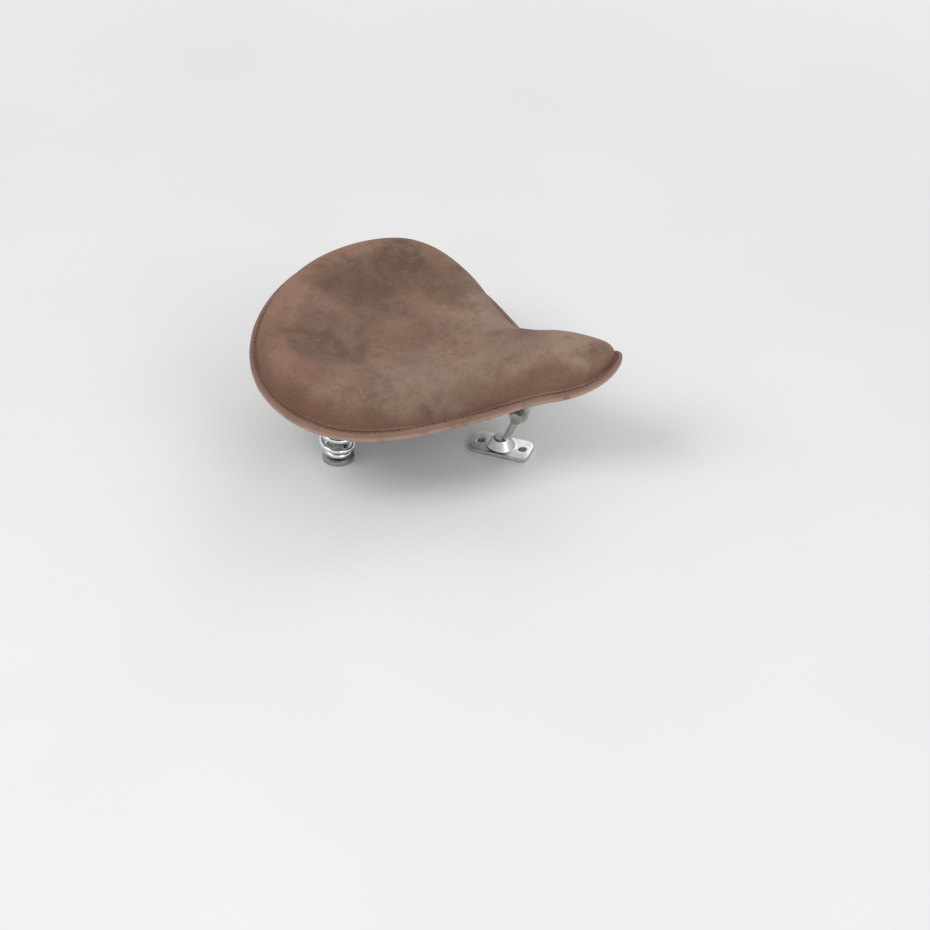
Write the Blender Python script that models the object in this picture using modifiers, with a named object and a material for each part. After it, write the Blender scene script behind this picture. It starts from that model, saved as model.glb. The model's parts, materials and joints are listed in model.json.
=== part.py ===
"""Sprung solo motorcycle seat: dished steel pan with foam and a leather cover, hinged at the nose on a
frame post and carried at the rear by two barrel coil springs. Metres, +Z up, nose towards +X.
The origin is in the middle of the seat's length, on the plane of the motorcycle frame."""

import math

import bmesh
import bpy
import numpy as np
from mathutils import Matrix, Vector
from mathutils.geometry import interpolate_bezier

MM = 0.001

# Fits
CLEARANCE = 0.3 * MM
FOAM_CLEARANCE = 0.8 * MM
BAND_CLEARANCE = 0.5 * MM
RIM_TOLERANCE = 0.1 * MM
MERGE_DISTANCE = 0.01 * MM
MIRROR_MERGE_DISTANCE = 0.02 * MM

# Plan outline of the edge band
SEAT_LENGTH = 385 * MM
SEAT_WIDTH = 333 * MM
WIDEST_FROM_REAR = 122.5 * MM
SHOULDER_FROM_TIP = 58.5 * MM
SHOULDER_HALF_WIDTH = 39 * MM
REAR_ROUNDNESS = 90 * MM
WIDEST_REAR_HANDLE = 82 * MM
WIDEST_FRONT_HANDLE = 84 * MM
SHOULDER_REAR_HANDLE = 52 * MM
SHOULDER_FRONT_HANDLE = 24 * MM
NOSE_ROUNDNESS = 38 * MM

# Side profile of the rim, above the frame plane
RIM_LOW_Z = 87 * MM
RIM_LOW_FROM_TIP = 131.5 * MM
REAR_RISE = 37 * MM
NOSE_RISE = 49 * MM

# Pressed steel pan
PAN_THICKNESS = 2.5 * MM
PAN_EDGE_INSET = 5 * MM
PAN_DISH_DEPTH = 22 * MM
PAN_FLAT_MARGIN = 21 * MM
PAN_DISH_RAMP = 70 * MM
PAN_DISH_ENDS_FROM_TIP = 107.5 * MM
PAN_DISH_FADE = 75 * MM

# Leather edge band folded round the pan's edge
BAND_THICKNESS = 9 * MM
BAND_UNDER_THICKNESS = 2.7 * MM
BAND_UNDER_WIDTH = 18 * MM
BAND_TOP_WIDTH = 11.5 * MM
BAND_EDGE_ROUND = 3 * MM

# Leather cover and foam
COVER_INSET = 7.5 * MM
LEATHER_THICKNESS = 2.5 * MM
REAR_CROWN = 22.5 * MM
LOBE_CROWN = 39 * MM
LOBE_CROWN_FROM_REAR = 113.5 * MM
WAIST_CROWN = 23 * MM
WAIST_CROWN_FROM_TIP = 147.5 * MM
NOSE_CROWN = 51 * MM
NOSE_CROWN_FROM_TIP = 73.5 * MM
TIP_CROWN = 23 * MM
SHOULDER_RADIUS = 30 * MM
SHOULDER_POWER = 2.3
SEAT_DISH_DEPTH = 14 * MM
SEAT_DISH_RAMP = 75 * MM
SEAT_DISH_ENDS_FROM_TIP = 92.5 * MM
SEAT_DISH_FADE = 100 * MM
WAIST_FILL = 10 * MM
WAIST_FILL_FROM_TIP = 136.5 * MM
WAIST_FILL_REACH = 52 * MM
WAIST_FILL_RAMP = 50 * MM
SPINE_FROM_REAR = 117.5 * MM
SPINE_FROM_TIP = 67.5 * MM

# Hem rivets
RIVETS_PER_SIDE = 5
RIVET_INSET = 12.5 * MM
RIVET_HEAD_RADIUS = 4.5 * MM
RIVET_HEAD_HEIGHT = 1.6 * MM
RIVET_HEAD_SHOULDER = 0.75
RIVET_SHANK_RADIUS = 2 * MM

# Barrel springs
SPRING_FROM_REAR = 105.5 * MM
SPRING_Y = 75 * MM
SPRING_TURNS = 5.0
SPRING_WIRE = 6 * MM
SPRING_END_RADIUS = 11.5 * MM
SPRING_MID_RADIUS = 17 * MM
SPRING_TAPER_TURNS = 1.5
SPRING_END_PITCH_CUT = 0.35
SPRING_POINTS_PER_TURN = 10

# Spring feet, perches and their fasteners
FOOT_RADIUS = 17 * MM
FOOT_THICKNESS = 5 * MM
FOOT_TAPPED_RADIUS = 3 * MM
FOOT_TAPPED_DEPTH = 14 * MM
PERCH_RADIUS = 18 * MM
PERCH_LEAST_THICKNESS = 5 * MM
STUD_RADIUS = 5 * MM
STUD_PAST_NUT = 2 * MM
CLAMP_WASHER_RADIUS = 10 * MM
CLAMP_WASHER_THICKNESS = 2 * MM
CLAMP_HEIGHT = 9 * MM
STUD_NUT_FLATS = 16 * MM
STUD_NUT_HEIGHT = 7 * MM

# Nose hinge
PIVOT_FROM_TIP = 99.5 * MM
PIVOT_DROP = 22 * MM
CLEVIS_TILT = math.radians(12)
CLEVIS_PLATE_LENGTH = 44 * MM
CLEVIS_PLATE_THICKNESS = 4 * MM
CLEVIS_EAR_THICKNESS = 4 * MM
CLEVIS_EAR_TOP_LENGTH = 32 * MM
CLEVIS_EAR_END_RADIUS = 10 * MM
CLEVIS_CORNER = 3 * MM
DOUBLER_THICKNESS = 6 * MM
DOUBLER_LENGTH = 48 * MM
DOUBLER_WIDTH = 44 * MM
CLEVIS_BOLT_SPACING = 26 * MM
CLEVIS_BOLT_RADIUS = 3 * MM
CLEVIS_BOLT_FLATS = 10 * MM
CLEVIS_BOLT_HEAD = 4 * MM
CLEVIS_BOLT_BITE = 4.5 * MM
LOCK_WASHER_RADIUS = 5.5 * MM
LOCK_WASHER_THICKNESS = 1.4 * MM

# Hinge bolt, bushes and frame post
PIVOT_BOLT_RADIUS = 4 * MM
PIVOT_BOLT_FLATS = 13 * MM
PIVOT_BOLT_HEAD = 5.5 * MM
PIVOT_NUT_HEIGHT = 8 * MM
PIVOT_BOLT_PAST_NUT = 2 * MM
PIVOT_WASHER_RADIUS = 8 * MM
PIVOT_WASHER_THICKNESS = 1.5 * MM
BUSH_WALL = 2 * MM
BUSH_FLANGE_RADIUS = 8.5 * MM
BUSH_FLANGE_THICKNESS = 1.5 * MM
BUSH_LENGTH = 11 * MM
BARREL_LENGTH = 30 * MM
BARREL_WALL = 2.4 * MM
POST_LEAN = 24 * MM
POST_FOOT_LENGTH = 66 * MM
POST_FOOT_WIDTH = 34 * MM
POST_FOOT_THICKNESS = 5 * MM
POST_FOOT_CORNER = 8 * MM
POST_BOSS_RADIUS = 15 * MM
POST_BOSS_TOP_RADIUS = 9 * MM
POST_BOSS_HEIGHT = 16 * MM
POST_STRUT_RADIUS = 4 * MM
POST_HOLE_SPACING = 46 * MM
POST_HOLE_RADIUS = 4.25 * MM

# Mesh density
STATIONS = 28
BEND_WEIGHT = 0.7
PAN_LEVELS = (0, 0.25, 0.45, 0.6, 0.72, 0.84, 1)
COVER_LEVELS = (0, 0.3, 0.55, 0.72, 0.84, 0.92, 0.97, 1)
OUTLINE_SAMPLES = 40
ROUND_STEPS = 20
SMALL_ROUND_STEPS = 14
RIVET_STEPS = 10
HEX = 6
FULL_TURN = 2 * math.pi
BOOLEAN_OVERRUN = 2 * MM
WELD_BLANK_HEIGHT = 22 * MM
SLOPE_STEP = 1 * MM
EAR_ARC_STEP = 30
BAND_ARC = (90, 45, 0)
SMOOTH_ANGLE = math.radians(35)
BEVEL_SEGMENTS = 2

# Places along the seat, worked out from its two ends
REAR_X = -SEAT_LENGTH / 2
TIP_X = SEAT_LENGTH / 2
WIDEST_X = REAR_X + WIDEST_FROM_REAR
SHOULDER_X = TIP_X - SHOULDER_FROM_TIP
RIM_LOW_X = TIP_X - RIM_LOW_FROM_TIP
SPRING_X = REAR_X + SPRING_FROM_REAR
PIVOT_X = TIP_X - PIVOT_FROM_TIP
POST_FOOT_X = PIVOT_X - POST_LEAN

# Heights above the rim line, shared by the pan, its band and what lies on them
PAN_UNDERSIDE = BAND_UNDER_THICKNESS + BAND_CLEARANCE
PAN_TOP = PAN_UNDERSIDE + PAN_THICKNESS
COVER_FOOT = BAND_THICKNESS + CLEARANCE


def smoothstep(value):
    t = min(max(value, 0.0), 1.0)
    return t * t * (3 - 2 * t)


def half_outline():
    """Points of the band's outer edge, from the middle of the rear to the tip of the nose, on the +Y side."""
    rear = Vector((REAR_X, 0))
    widest = Vector((WIDEST_X, SEAT_WIDTH / 2))
    shoulder = Vector((SHOULDER_X, SHOULDER_HALF_WIDTH))
    tip = Vector((TIP_X, 0))
    across, along = Vector((0, 1)), Vector((1, 0))
    spans = (
        (rear, rear + across * REAR_ROUNDNESS, widest - along * WIDEST_REAR_HANDLE, widest),
        (widest, widest + along * WIDEST_FRONT_HANDLE, shoulder - along * SHOULDER_REAR_HANDLE, shoulder),
        (shoulder, shoulder + along * SHOULDER_FRONT_HANDLE, tip + across * NOSE_ROUNDNESS, tip),
    )
    points = [rear]
    for span in spans:
        points += interpolate_bezier(*span, OUTLINE_SAMPLES)[1:]
    return np.array([(p.x, p.y) for p in points])


OUTLINE = half_outline()


def outline_stations():
    """Points along half of the outline, closer together where it bends, with the inward normal at each."""
    steps = np.diff(OUTLINE, axis=0)
    run = np.concatenate([[0], np.cumsum(np.hypot(*steps.T))])
    heading = np.unwrap(np.arctan2(steps[:, 1], steps[:, 0]))
    bend = np.concatenate([[0, 0], np.cumsum(np.abs(np.diff(heading)))])
    measure = run / run[-1] + BEND_WEIGHT * bend / bend[-1]
    wanted = np.interp(np.linspace(0, measure[-1], STATIONS + 1), measure, run)
    points = np.stack([np.interp(wanted, run, OUTLINE[:, i]) for i in (0, 1)], axis=1)
    tangent = np.gradient(OUTLINE, run, axis=0)
    along = np.stack([np.interp(wanted, run, tangent[:, i]) for i in (0, 1)], axis=1)
    along[0], along[-1] = (0, 1), (0, -1)
    inward = np.stack([along[:, 1], -along[:, 0]], axis=1)
    return points, inward / np.linalg.norm(inward, axis=1)[:, None]


STATION_POINTS, STATION_INWARD = outline_stations()


def rim_point(station, inset):
    """Plan position of a station, moved in from the outer edge."""
    return STATION_POINTS[station] + STATION_INWARD[station] * inset


def edge_distance(x, y):
    """Distance in plan from a point to the band's outer edge."""
    starts, ends = OUTLINE[:-1], OUTLINE[1:]
    run = ends - starts
    offset = np.array([x, abs(y)]) - starts
    share = np.clip((offset * run).sum(axis=1) / (run * run).sum(axis=1), 0, 1)
    return float(np.hypot(*(offset - run * share[:, None]).T).min())


def rim_z(x):
    """Height of the band's lower edge: a hammock line, higher at the rear and highest at the nose."""
    if x < RIM_LOW_X:
        return RIM_LOW_Z + REAR_RISE * ((RIM_LOW_X - x) / (RIM_LOW_X - REAR_X)) ** 2
    return RIM_LOW_Z + NOSE_RISE * ((x - RIM_LOW_X) / (TIP_X - RIM_LOW_X)) ** 2


def rim_slope(x):
    """Angle of the rim line to the frame plane, uphill towards the nose."""
    return math.atan2(rim_z(x + SLOPE_STEP) - rim_z(x - SLOPE_STEP), 2 * SLOPE_STEP)


def pan_dish(x, y):
    fade = smoothstep((TIP_X - PAN_DISH_ENDS_FROM_TIP - x) / PAN_DISH_FADE)
    return PAN_DISH_DEPTH * fade * smoothstep((edge_distance(x, y) - PAN_FLAT_MARGIN) / PAN_DISH_RAMP)


def pan_underside(x, y):
    return rim_z(x) + PAN_UNDERSIDE - pan_dish(x, y)


def pan_top(x, y):
    return rim_z(x) + PAN_TOP - pan_dish(x, y)


def crown_height(x):
    """Height of the padding above the band: full over the lobes, low at the waist and highest on the nose."""
    marks = (
        (REAR_X, REAR_CROWN),
        (REAR_X + LOBE_CROWN_FROM_REAR, LOBE_CROWN),
        (TIP_X - WAIST_CROWN_FROM_TIP, WAIST_CROWN),
        (TIP_X - NOSE_CROWN_FROM_TIP, NOSE_CROWN),
        (TIP_X, TIP_CROWN),
    )
    height = REAR_CROWN
    for (x0, h0), (x1, h1) in zip(marks, marks[1:]):
        height += (h1 - h0) * smoothstep((x - x0) / (x1 - x0))
    return height


def cover_height(x, y, foot_inset, skin):
    """Crowned face that starts at an inset from the outer edge, a skin's thickness under the cover's top."""
    inside = max(edge_distance(x, y) - foot_inset - RIM_TOLERANCE, 0.0)
    left = 1 - min(inside / SHOULDER_RADIUS, 1.0)
    rise = (1 - left**SHOULDER_POWER) ** (1 / SHOULDER_POWER)
    fade = smoothstep((TIP_X - SEAT_DISH_ENDS_FROM_TIP - x) / SEAT_DISH_FADE)
    dish = SEAT_DISH_DEPTH * fade * smoothstep((inside - SHOULDER_RADIUS / 2) / SEAT_DISH_RAMP)
    near_waist = smoothstep(1 - abs(x - TIP_X + WAIST_FILL_FROM_TIP) / WAIST_FILL_REACH)
    fill = WAIST_FILL * near_waist * smoothstep(inside / WAIST_FILL_RAMP)
    return rim_z(x) + COVER_FOOT + (crown_height(x) - skin) * rise - dish + fill


def new_material(name, color, roughness, metallic):
    material = bpy.data.materials.new(name)
    material.use_nodes = True
    shader = material.node_tree.nodes["Principled BSDF"]
    shader.inputs["Base Color"].default_value = (*color, 1)
    shader.inputs["Roughness"].default_value = roughness
    shader.inputs["Metallic"].default_value = metallic
    return material


def clear_scene():
    for obj in list(bpy.data.objects):
        bpy.data.objects.remove(obj)


def new_collection(name):
    collection = bpy.data.collections.new(name)
    bpy.context.scene.collection.children.link(collection)
    return collection


clear_scene()
SEAT = new_collection("solo_seat")
CUTTERS = new_collection("cutters")
LEATHER = new_material("distressed_leather", (0.22, 0.13, 0.09), 0.6, 0)
FOAM = new_material("closed_cell_foam", (0.04, 0.04, 0.04), 0.9, 0)
BLACK_STEEL = new_material("black_powder_coat", (0.02, 0.02, 0.02), 0.45, 0)
CHROME = new_material("chrome_plate", (0.75, 0.75, 0.75), 0.12, 1)
ZINC = new_material("zinc_plate", (0.55, 0.55, 0.53), 0.35, 1)
BRONZE = new_material("bush_bronze", (0.5, 0.33, 0.14), 0.4, 1)


def add_mesh_object(name, mesh_edit, material, collection=SEAT):
    """Turns a bmesh into a named object, shaded smooth with sharp edges kept."""
    mesh = bpy.data.meshes.new(name)
    mesh_edit.to_mesh(mesh)
    mesh_edit.free()
    mesh.shade_smooth()
    mesh.set_sharp_from_angle(angle=SMOOTH_ANGLE)
    obj = bpy.data.objects.new(name, mesh)
    collection.objects.link(obj)
    if material:
        mesh.materials.append(material)
    return obj


def hide_helper(obj):
    obj.hide_render = True
    obj.display_type = "WIRE"
    return obj


def add_boolean(obj, other, operation):
    modifier = obj.modifiers.new(operation.lower(), "BOOLEAN")
    modifier.object = hide_helper(other)
    modifier.operation = operation


def add_mirror(obj):
    modifier = obj.modifiers.new("both_sides", "MIRROR")
    modifier.use_axis = (False, True, False)
    modifier.merge_threshold = MIRROR_MERGE_DISTANCE


def mapped_grid(across, along, place):
    """A grid whose vertex in row i and column j lies where place(i, j) says. Its faces are split along their
    shorter diagonals, so that two faces that lie on one another have the same facets."""
    mesh_edit = bmesh.new()
    bmesh.ops.create_grid(mesh_edit, x_segments=across, y_segments=along, size=1)
    for index, vert in enumerate(mesh_edit.verts):
        j, i = divmod(index, across + 1)
        vert.co = place(i, j)
        if i in (0, across):
            vert.co.y = 0
    bmesh.ops.triangulate(mesh_edit, faces=mesh_edit.faces[:], quad_method="SHORT_EDGE")
    return mesh_edit


def saddle_solid(name, material, upper, lower, collection=SEAT):
    """A solid between two faces over the seat's plan. Each face is a list of rings and a height function,
    and each ring is a (share of the way from spine to rim, rim inset). Half of the solid is one grid that
    runs from the spine to the rim on top and back underneath."""
    rings = [(*ring, upper[1]) for ring in upper[0]] + [(*ring, lower[1]) for ring in reversed(lower[0])]

    def place(station, ring):
        level, inset, height = rings[ring]
        rim = rim_point(station, inset)
        share = (rim[0] - REAR_X) / SEAT_LENGTH
        spine = REAR_X + SPINE_FROM_REAR + (SEAT_LENGTH - SPINE_FROM_REAR - SPINE_FROM_TIP) * share
        x = spine + (rim[0] - spine) * level
        y = rim[1] * level
        return Vector((x, y, height(x, y)))

    half = mapped_grid(STATIONS, len(rings) - 1, place)
    obj = add_mesh_object(name, half, material, collection)
    add_mirror(obj)
    return obj


def swept_band(name, material, section):
    """A ring that carries one closed section of (inset, height above the rim line) round the outline."""

    def place(station, corner):
        inset, height = section[corner % len(section)]
        x, y = rim_point(station, inset)
        return Vector((x, y, rim_z(x) + height))

    half = mapped_grid(STATIONS, len(section), place)
    bmesh.ops.remove_doubles(half, verts=half.verts[:], dist=MERGE_DISTANCE)
    bmesh.ops.reverse_faces(half, faces=half.faces[:])
    obj = add_mesh_object(name, half, material)
    add_mirror(obj)
    return obj


def turned(name, material, profile, location, axis="Z", steps=ROUND_STEPS, collection=SEAT):
    """A turned piece: a closed profile of (radius, height) spun by a Screw modifier."""
    mesh_edit = bmesh.new()
    verts = [mesh_edit.verts.new((radius, 0, height)) for radius, height in profile]
    closed = all(radius > 0 for radius, height in profile)
    for first, second in zip(verts, verts[1:] + verts[:1] if closed else verts[1:]):
        mesh_edit.edges.new((first, second))
    obj = add_mesh_object(name, mesh_edit, material, collection)
    screw = obj.modifiers.new("turn", "SCREW")
    screw.steps = screw.render_steps = steps
    screw.use_merge_vertices = True
    screw.merge_threshold = MERGE_DISTANCE
    screw.use_smooth_shade = True
    obj.location = location
    if axis == "Y":
        obj.rotation_euler.x = -math.pi / 2
    return obj


def cylinder_profile(radius, low, high):
    return [(0, high), (radius, high), (radius, low), (0, low)]


def ring_profile(outer, inner, low, high):
    return [(outer, high), (outer, low), (inner, low), (inner, high)]


def hex_prism(name, material, flats, height, location, collection=SEAT):
    """A six-sided prism that stands on its location."""
    mesh_edit = bmesh.new()
    radius = flats / math.sqrt(3)
    bmesh.ops.create_cone(
        mesh_edit, cap_ends=True, segments=HEX, radius1=radius, radius2=radius, depth=height
    )
    bmesh.ops.translate(mesh_edit, verts=mesh_edit.verts[:], vec=(0, 0, height / 2))
    obj = add_mesh_object(name, mesh_edit, material, collection)
    obj.location = location
    return obj


def hex_nut(name, material, flats, height, bore, location):
    nut = hex_prism(name, material, flats, height, location)
    profile = cylinder_profile(bore, -BOOLEAN_OVERRUN, height + BOOLEAN_OVERRUN)
    cutter = turned(name + "_bore", None, profile, location, steps=SMALL_ROUND_STEPS, collection=CUTTERS)
    add_boolean(nut, cutter, "DIFFERENCE")
    return nut


def hex_bolt(name, material, flats, head, radius, length, location):
    """A bolt whose head stands on its location's far side: the shank runs up +Z from the head's top face."""
    bolt = hex_prism(name, material, flats, head, (0, 0, 0))
    profile = cylinder_profile(radius, head / 2, head + length)
    shank = turned(name + "_shank", None, profile, (0, 0, 0), steps=SMALL_ROUND_STEPS, collection=CUTTERS)
    add_boolean(bolt, shank, "UNION")
    shank.parent = bolt
    bolt.location = location
    return bolt


def box(name, material, size, location=(0, 0, 0), collection=SEAT, bevel=0.0):
    mesh_edit = bmesh.new()
    bmesh.ops.create_cube(mesh_edit, size=1.0, matrix=Matrix.Diagonal((*size, 1)))
    if bevel:
        upright = [e for e in mesh_edit.edges if abs((e.verts[0].co - e.verts[1].co).z) > size[2] / 2]
        bmesh.ops.bevel(
            mesh_edit, geom=upright, offset=bevel, segments=BEVEL_SEGMENTS, affect="EDGES", profile=0.5
        )
    obj = add_mesh_object(name, mesh_edit, material, collection)
    obj.location = location
    return obj


PAN_FIELD = [(level, BAND_UNDER_WIDTH + CLEARANCE) for level in PAN_LEVELS]
PAN_RINGS = [*PAN_FIELD, (1, PAN_EDGE_INSET)]


def build_pan():
    return saddle_solid("seat_pan", BLACK_STEEL, (PAN_RINGS, pan_top), (PAN_RINGS, pan_underside))


def build_pan_relief():
    """Cutter that shapes whatever is welded under the pan to the pan's own facets."""
    return saddle_solid(
        "pan_relief",
        None,
        (PAN_RINGS, lambda x, y: pan_top(x, y) + WELD_BLANK_HEIGHT),
        (PAN_RINGS, lambda x, y: pan_underside(x, y) - CLEARANCE),
        CUTTERS,
    )


def crowned_face(foot_inset, skin):
    """Rings and height of one face of the padding."""
    return [(level, foot_inset) for level in COVER_LEVELS], lambda x, y: cover_height(x, y, foot_inset, skin)


def build_cover_and_foam():
    foam_skin = LEATHER_THICKNESS + FOAM_CLEARANCE
    foam_inset = max(COVER_INSET + foam_skin, BAND_TOP_WIDTH + FOAM_CLEARANCE)
    outer = crowned_face(COVER_INSET, 0)
    inner = crowned_face(COVER_INSET + LEATHER_THICKNESS, LEATHER_THICKNESS)
    foam_base = [*PAN_FIELD, (1, foam_inset)], lambda x, y: pan_top(x, y) + CLEARANCE
    saddle_solid("leather_cover", LEATHER, outer, inner)
    saddle_solid("foam_pad", FOAM, crowned_face(foam_inset, foam_skin), foam_base)


def build_edge_band():
    """The band's section: a rounded outer edge, a wide leg under the pan and a narrow leg on top."""
    slot_end = PAN_EDGE_INSET - BAND_CLEARANCE
    slot_top = PAN_TOP + BAND_CLEARANCE
    corner = BAND_EDGE_ROUND
    rounding = [math.radians(a) for a in BAND_ARC]
    top_corner = [
        (corner * (1 - math.cos(a)), BAND_THICKNESS - corner * (1 - math.sin(a))) for a in rounding
    ]
    under_corner = [(inset, BAND_THICKNESS - height) for inset, height in reversed(top_corner)]
    section = [
        (BAND_TOP_WIDTH, slot_top),
        (BAND_TOP_WIDTH, BAND_THICKNESS),
        *top_corner,
        *under_corner,
        (BAND_UNDER_WIDTH, 0),
        (BAND_UNDER_WIDTH, BAND_UNDER_THICKNESS),
        (slot_end, BAND_UNDER_THICKNESS),
        (slot_end, slot_top),
    ]
    return swept_band("edge_band", LEATHER, section)


def rivet_stations():
    """Stations of the hem rivets on one side, spread evenly and clear of the ends."""
    step = STATIONS / RIVETS_PER_SIDE
    return [round((n + 0.5) * step) for n in range(RIVETS_PER_SIDE)]


def build_hem_rivets(pan, band):
    """Rivets that hold the band's under leg to the pan, each in its own hole through both."""
    for station in rivet_stations():
        for side, label in ((1, "left"), (-1, "right")):
            x, y = rim_point(station, RIVET_INSET) * (1, side)
            name = f"hem_rivet_{label}_{station:02d}"
            place = (x, y, rim_z(x))
            slope = rim_slope(x)
            end = PAN_TOP * math.cos(slope)
            seat_face = -CLEARANCE
            shoulder = RIVET_HEAD_SHOULDER
            profile = [
                (0, end),
                (RIVET_SHANK_RADIUS, end),
                (RIVET_SHANK_RADIUS, seat_face),
                (RIVET_HEAD_RADIUS, seat_face),
                (shoulder * RIVET_HEAD_RADIUS, seat_face - shoulder * RIVET_HEAD_HEIGHT),
                (0, seat_face - RIVET_HEAD_HEIGHT),
            ]
            rivet = turned(name, ZINC, profile, place, steps=RIVET_STEPS)
            hole_profile = cylinder_profile(
                RIVET_SHANK_RADIUS + CLEARANCE, -BOOLEAN_OVERRUN, end + BOOLEAN_OVERRUN
            )
            hole = turned(name + "_hole", None, hole_profile, place, steps=RIVET_STEPS, collection=CUTTERS)
            for piece in (rivet, hole):
                piece.rotation_euler.y = -slope
            add_boolean(pan, hole, "DIFFERENCE")
            add_boolean(band, hole, "DIFFERENCE")


def spring_path(low, high):
    """Points of a barrel spring's wire, from its lower to its upper end, with drawn-in end coils."""
    count = round(SPRING_TURNS * SPRING_POINTS_PER_TURN)
    height = high - low - SPRING_WIRE
    points = []
    for n in range(count + 1):
        share = n / count
        turns = share * SPRING_TURNS
        from_end = min(turns, SPRING_TURNS - turns)
        swell = smoothstep(from_end / SPRING_TAPER_TURNS)
        radius = SPRING_END_RADIUS + (SPRING_MID_RADIUS - SPRING_END_RADIUS) * swell
        climb = share - SPRING_END_PITCH_CUT * math.sin(FULL_TURN * share) / FULL_TURN
        angle = FULL_TURN * turns
        z = low + SPRING_WIRE / 2 + height * climb
        points.append(Vector((radius * math.cos(angle), radius * math.sin(angle), z)))
    return points


def least_gap(points):
    """The least space between turns of the wire, measured on its points."""
    apart = SPRING_POINTS_PER_TURN // 2
    return min(
        (points[i] - points[j]).length - SPRING_WIRE
        for i in range(len(points))
        for j in range(i + apart, len(points))
    )


def build_spring(label, side, low, high):
    curve = bpy.data.curves.new("spring_" + label, "CURVE")
    curve.dimensions = "3D"
    curve.bevel_depth = SPRING_WIRE / 2
    curve.bevel_resolution = 1
    curve.use_fill_caps = True
    curve.materials.append(CHROME)
    points = spring_path(low, high)
    spline = curve.splines.new("POLY")
    spline.points.add(len(points) - 1)
    for point, place in zip(spline.points, points):
        point.co = (place.x, place.y * side, place.z, 1)
    spline.use_smooth = True
    obj = bpy.data.objects.new("spring_" + label, curve)
    SEAT.objects.link(obj)
    obj.location = (SPRING_X, SPRING_Y * side, 0)
    print(f"spring_{label}: least gap between turns {least_gap(points) / MM:.2f} mm")


def build_spring_stack(label, side, pan_relief):
    """One spring with its foot below, its perch under the pan, and the stud, washer and nut of each end."""
    place = Vector((SPRING_X, SPRING_Y * side, 0))
    perch_z = min(
        pan_underside(SPRING_X + PERCH_RADIUS * math.cos(a), SPRING_Y + PERCH_RADIUS * math.sin(a))
        for a in np.linspace(0, FULL_TURN, ROUND_STEPS)
    )
    perch_z -= PERCH_LEAST_THICKNESS + CLEARANCE
    nut_corner = CLAMP_HEIGHT + CLAMP_WASHER_THICKNESS + CLEARANCE
    stud_length = nut_corner + STUD_NUT_HEIGHT + STUD_PAST_NUT
    build_spring(label, side, FOOT_THICKNESS + CLEARANCE, perch_z - CLEARANCE)

    foot_top = FOOT_THICKNESS + stud_length
    turned(
        "spring_foot_" + label,
        ZINC,
        [
            (0, foot_top),
            (STUD_RADIUS, foot_top),
            (STUD_RADIUS, FOOT_THICKNESS),
            (FOOT_RADIUS, FOOT_THICKNESS),
            (FOOT_RADIUS, 0),
            (FOOT_TAPPED_RADIUS, 0),
            (FOOT_TAPPED_RADIUS, FOOT_TAPPED_DEPTH),
            (0, FOOT_TAPPED_DEPTH),
        ],
        place,
    )
    perch = turned(
        "spring_perch_" + label,
        BLACK_STEEL,
        [
            (0, perch_z + WELD_BLANK_HEIGHT),
            (PERCH_RADIUS, perch_z + WELD_BLANK_HEIGHT),
            (PERCH_RADIUS, perch_z),
            (STUD_RADIUS, perch_z),
            (STUD_RADIUS, perch_z - stud_length),
            (0, perch_z - stud_length),
        ],
        place,
    )
    add_boolean(perch, pan_relief, "DIFFERENCE")

    inner, outer = STUD_RADIUS + CLEARANCE, CLAMP_WASHER_RADIUS
    washer = ring_profile(outer, inner, 0, CLAMP_WASHER_THICKNESS)
    lower_washer_z = FOOT_THICKNESS + CLAMP_HEIGHT
    upper_washer_z = perch_z - CLAMP_HEIGHT - CLAMP_WASHER_THICKNESS
    for end, washer_z in (("lower", lower_washer_z), ("upper", upper_washer_z)):
        turned(f"clamp_washer_{end}_{label}", ZINC, washer, place + Vector((0, 0, washer_z)))
    nut_zs = {
        "lower": lower_washer_z + CLAMP_WASHER_THICKNESS + CLEARANCE,
        "upper": upper_washer_z - CLEARANCE - STUD_NUT_HEIGHT,
    }
    for end, nut_z in nut_zs.items():
        nut_place = place + Vector((0, 0, nut_z))
        hex_nut(f"clamp_nut_{end}_{label}", ZINC, STUD_NUT_FLATS, STUD_NUT_HEIGHT, inner, nut_place)


def clevis_frame():
    """An empty on the hinge axis, tilted like the pan there, that carries the clevis and its fasteners."""
    frame = bpy.data.objects.new("nose_hinge_axis", None)
    SEAT.objects.link(frame)
    plate_x = PIVOT_X - PIVOT_DROP * math.sin(CLEVIS_TILT)
    drop = (PIVOT_DROP + DOUBLER_THICKNESS + 2 * CLEARANCE) * math.cos(CLEVIS_TILT)
    frame.location = (PIVOT_X, 0, pan_underside(plate_x, 0) - drop)
    frame.rotation_euler.y = -CLEVIS_TILT
    return frame


def ear_outline():
    """Side view of a clevis ear: wide at the plate, with a round end about the hinge axis."""
    radius, top = CLEVIS_EAR_END_RADIUS, PIVOT_DROP - CLEVIS_PLATE_THICKNESS / 2
    arc = [math.radians(a) for a in range(180, 361, EAR_ARC_STEP)]
    points = [(radius * math.cos(a), radius * math.sin(a)) for a in arc]
    return [*points, (CLEVIS_EAR_TOP_LENGTH / 2, top), (-CLEVIS_EAR_TOP_LENGTH / 2, top)]


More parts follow.
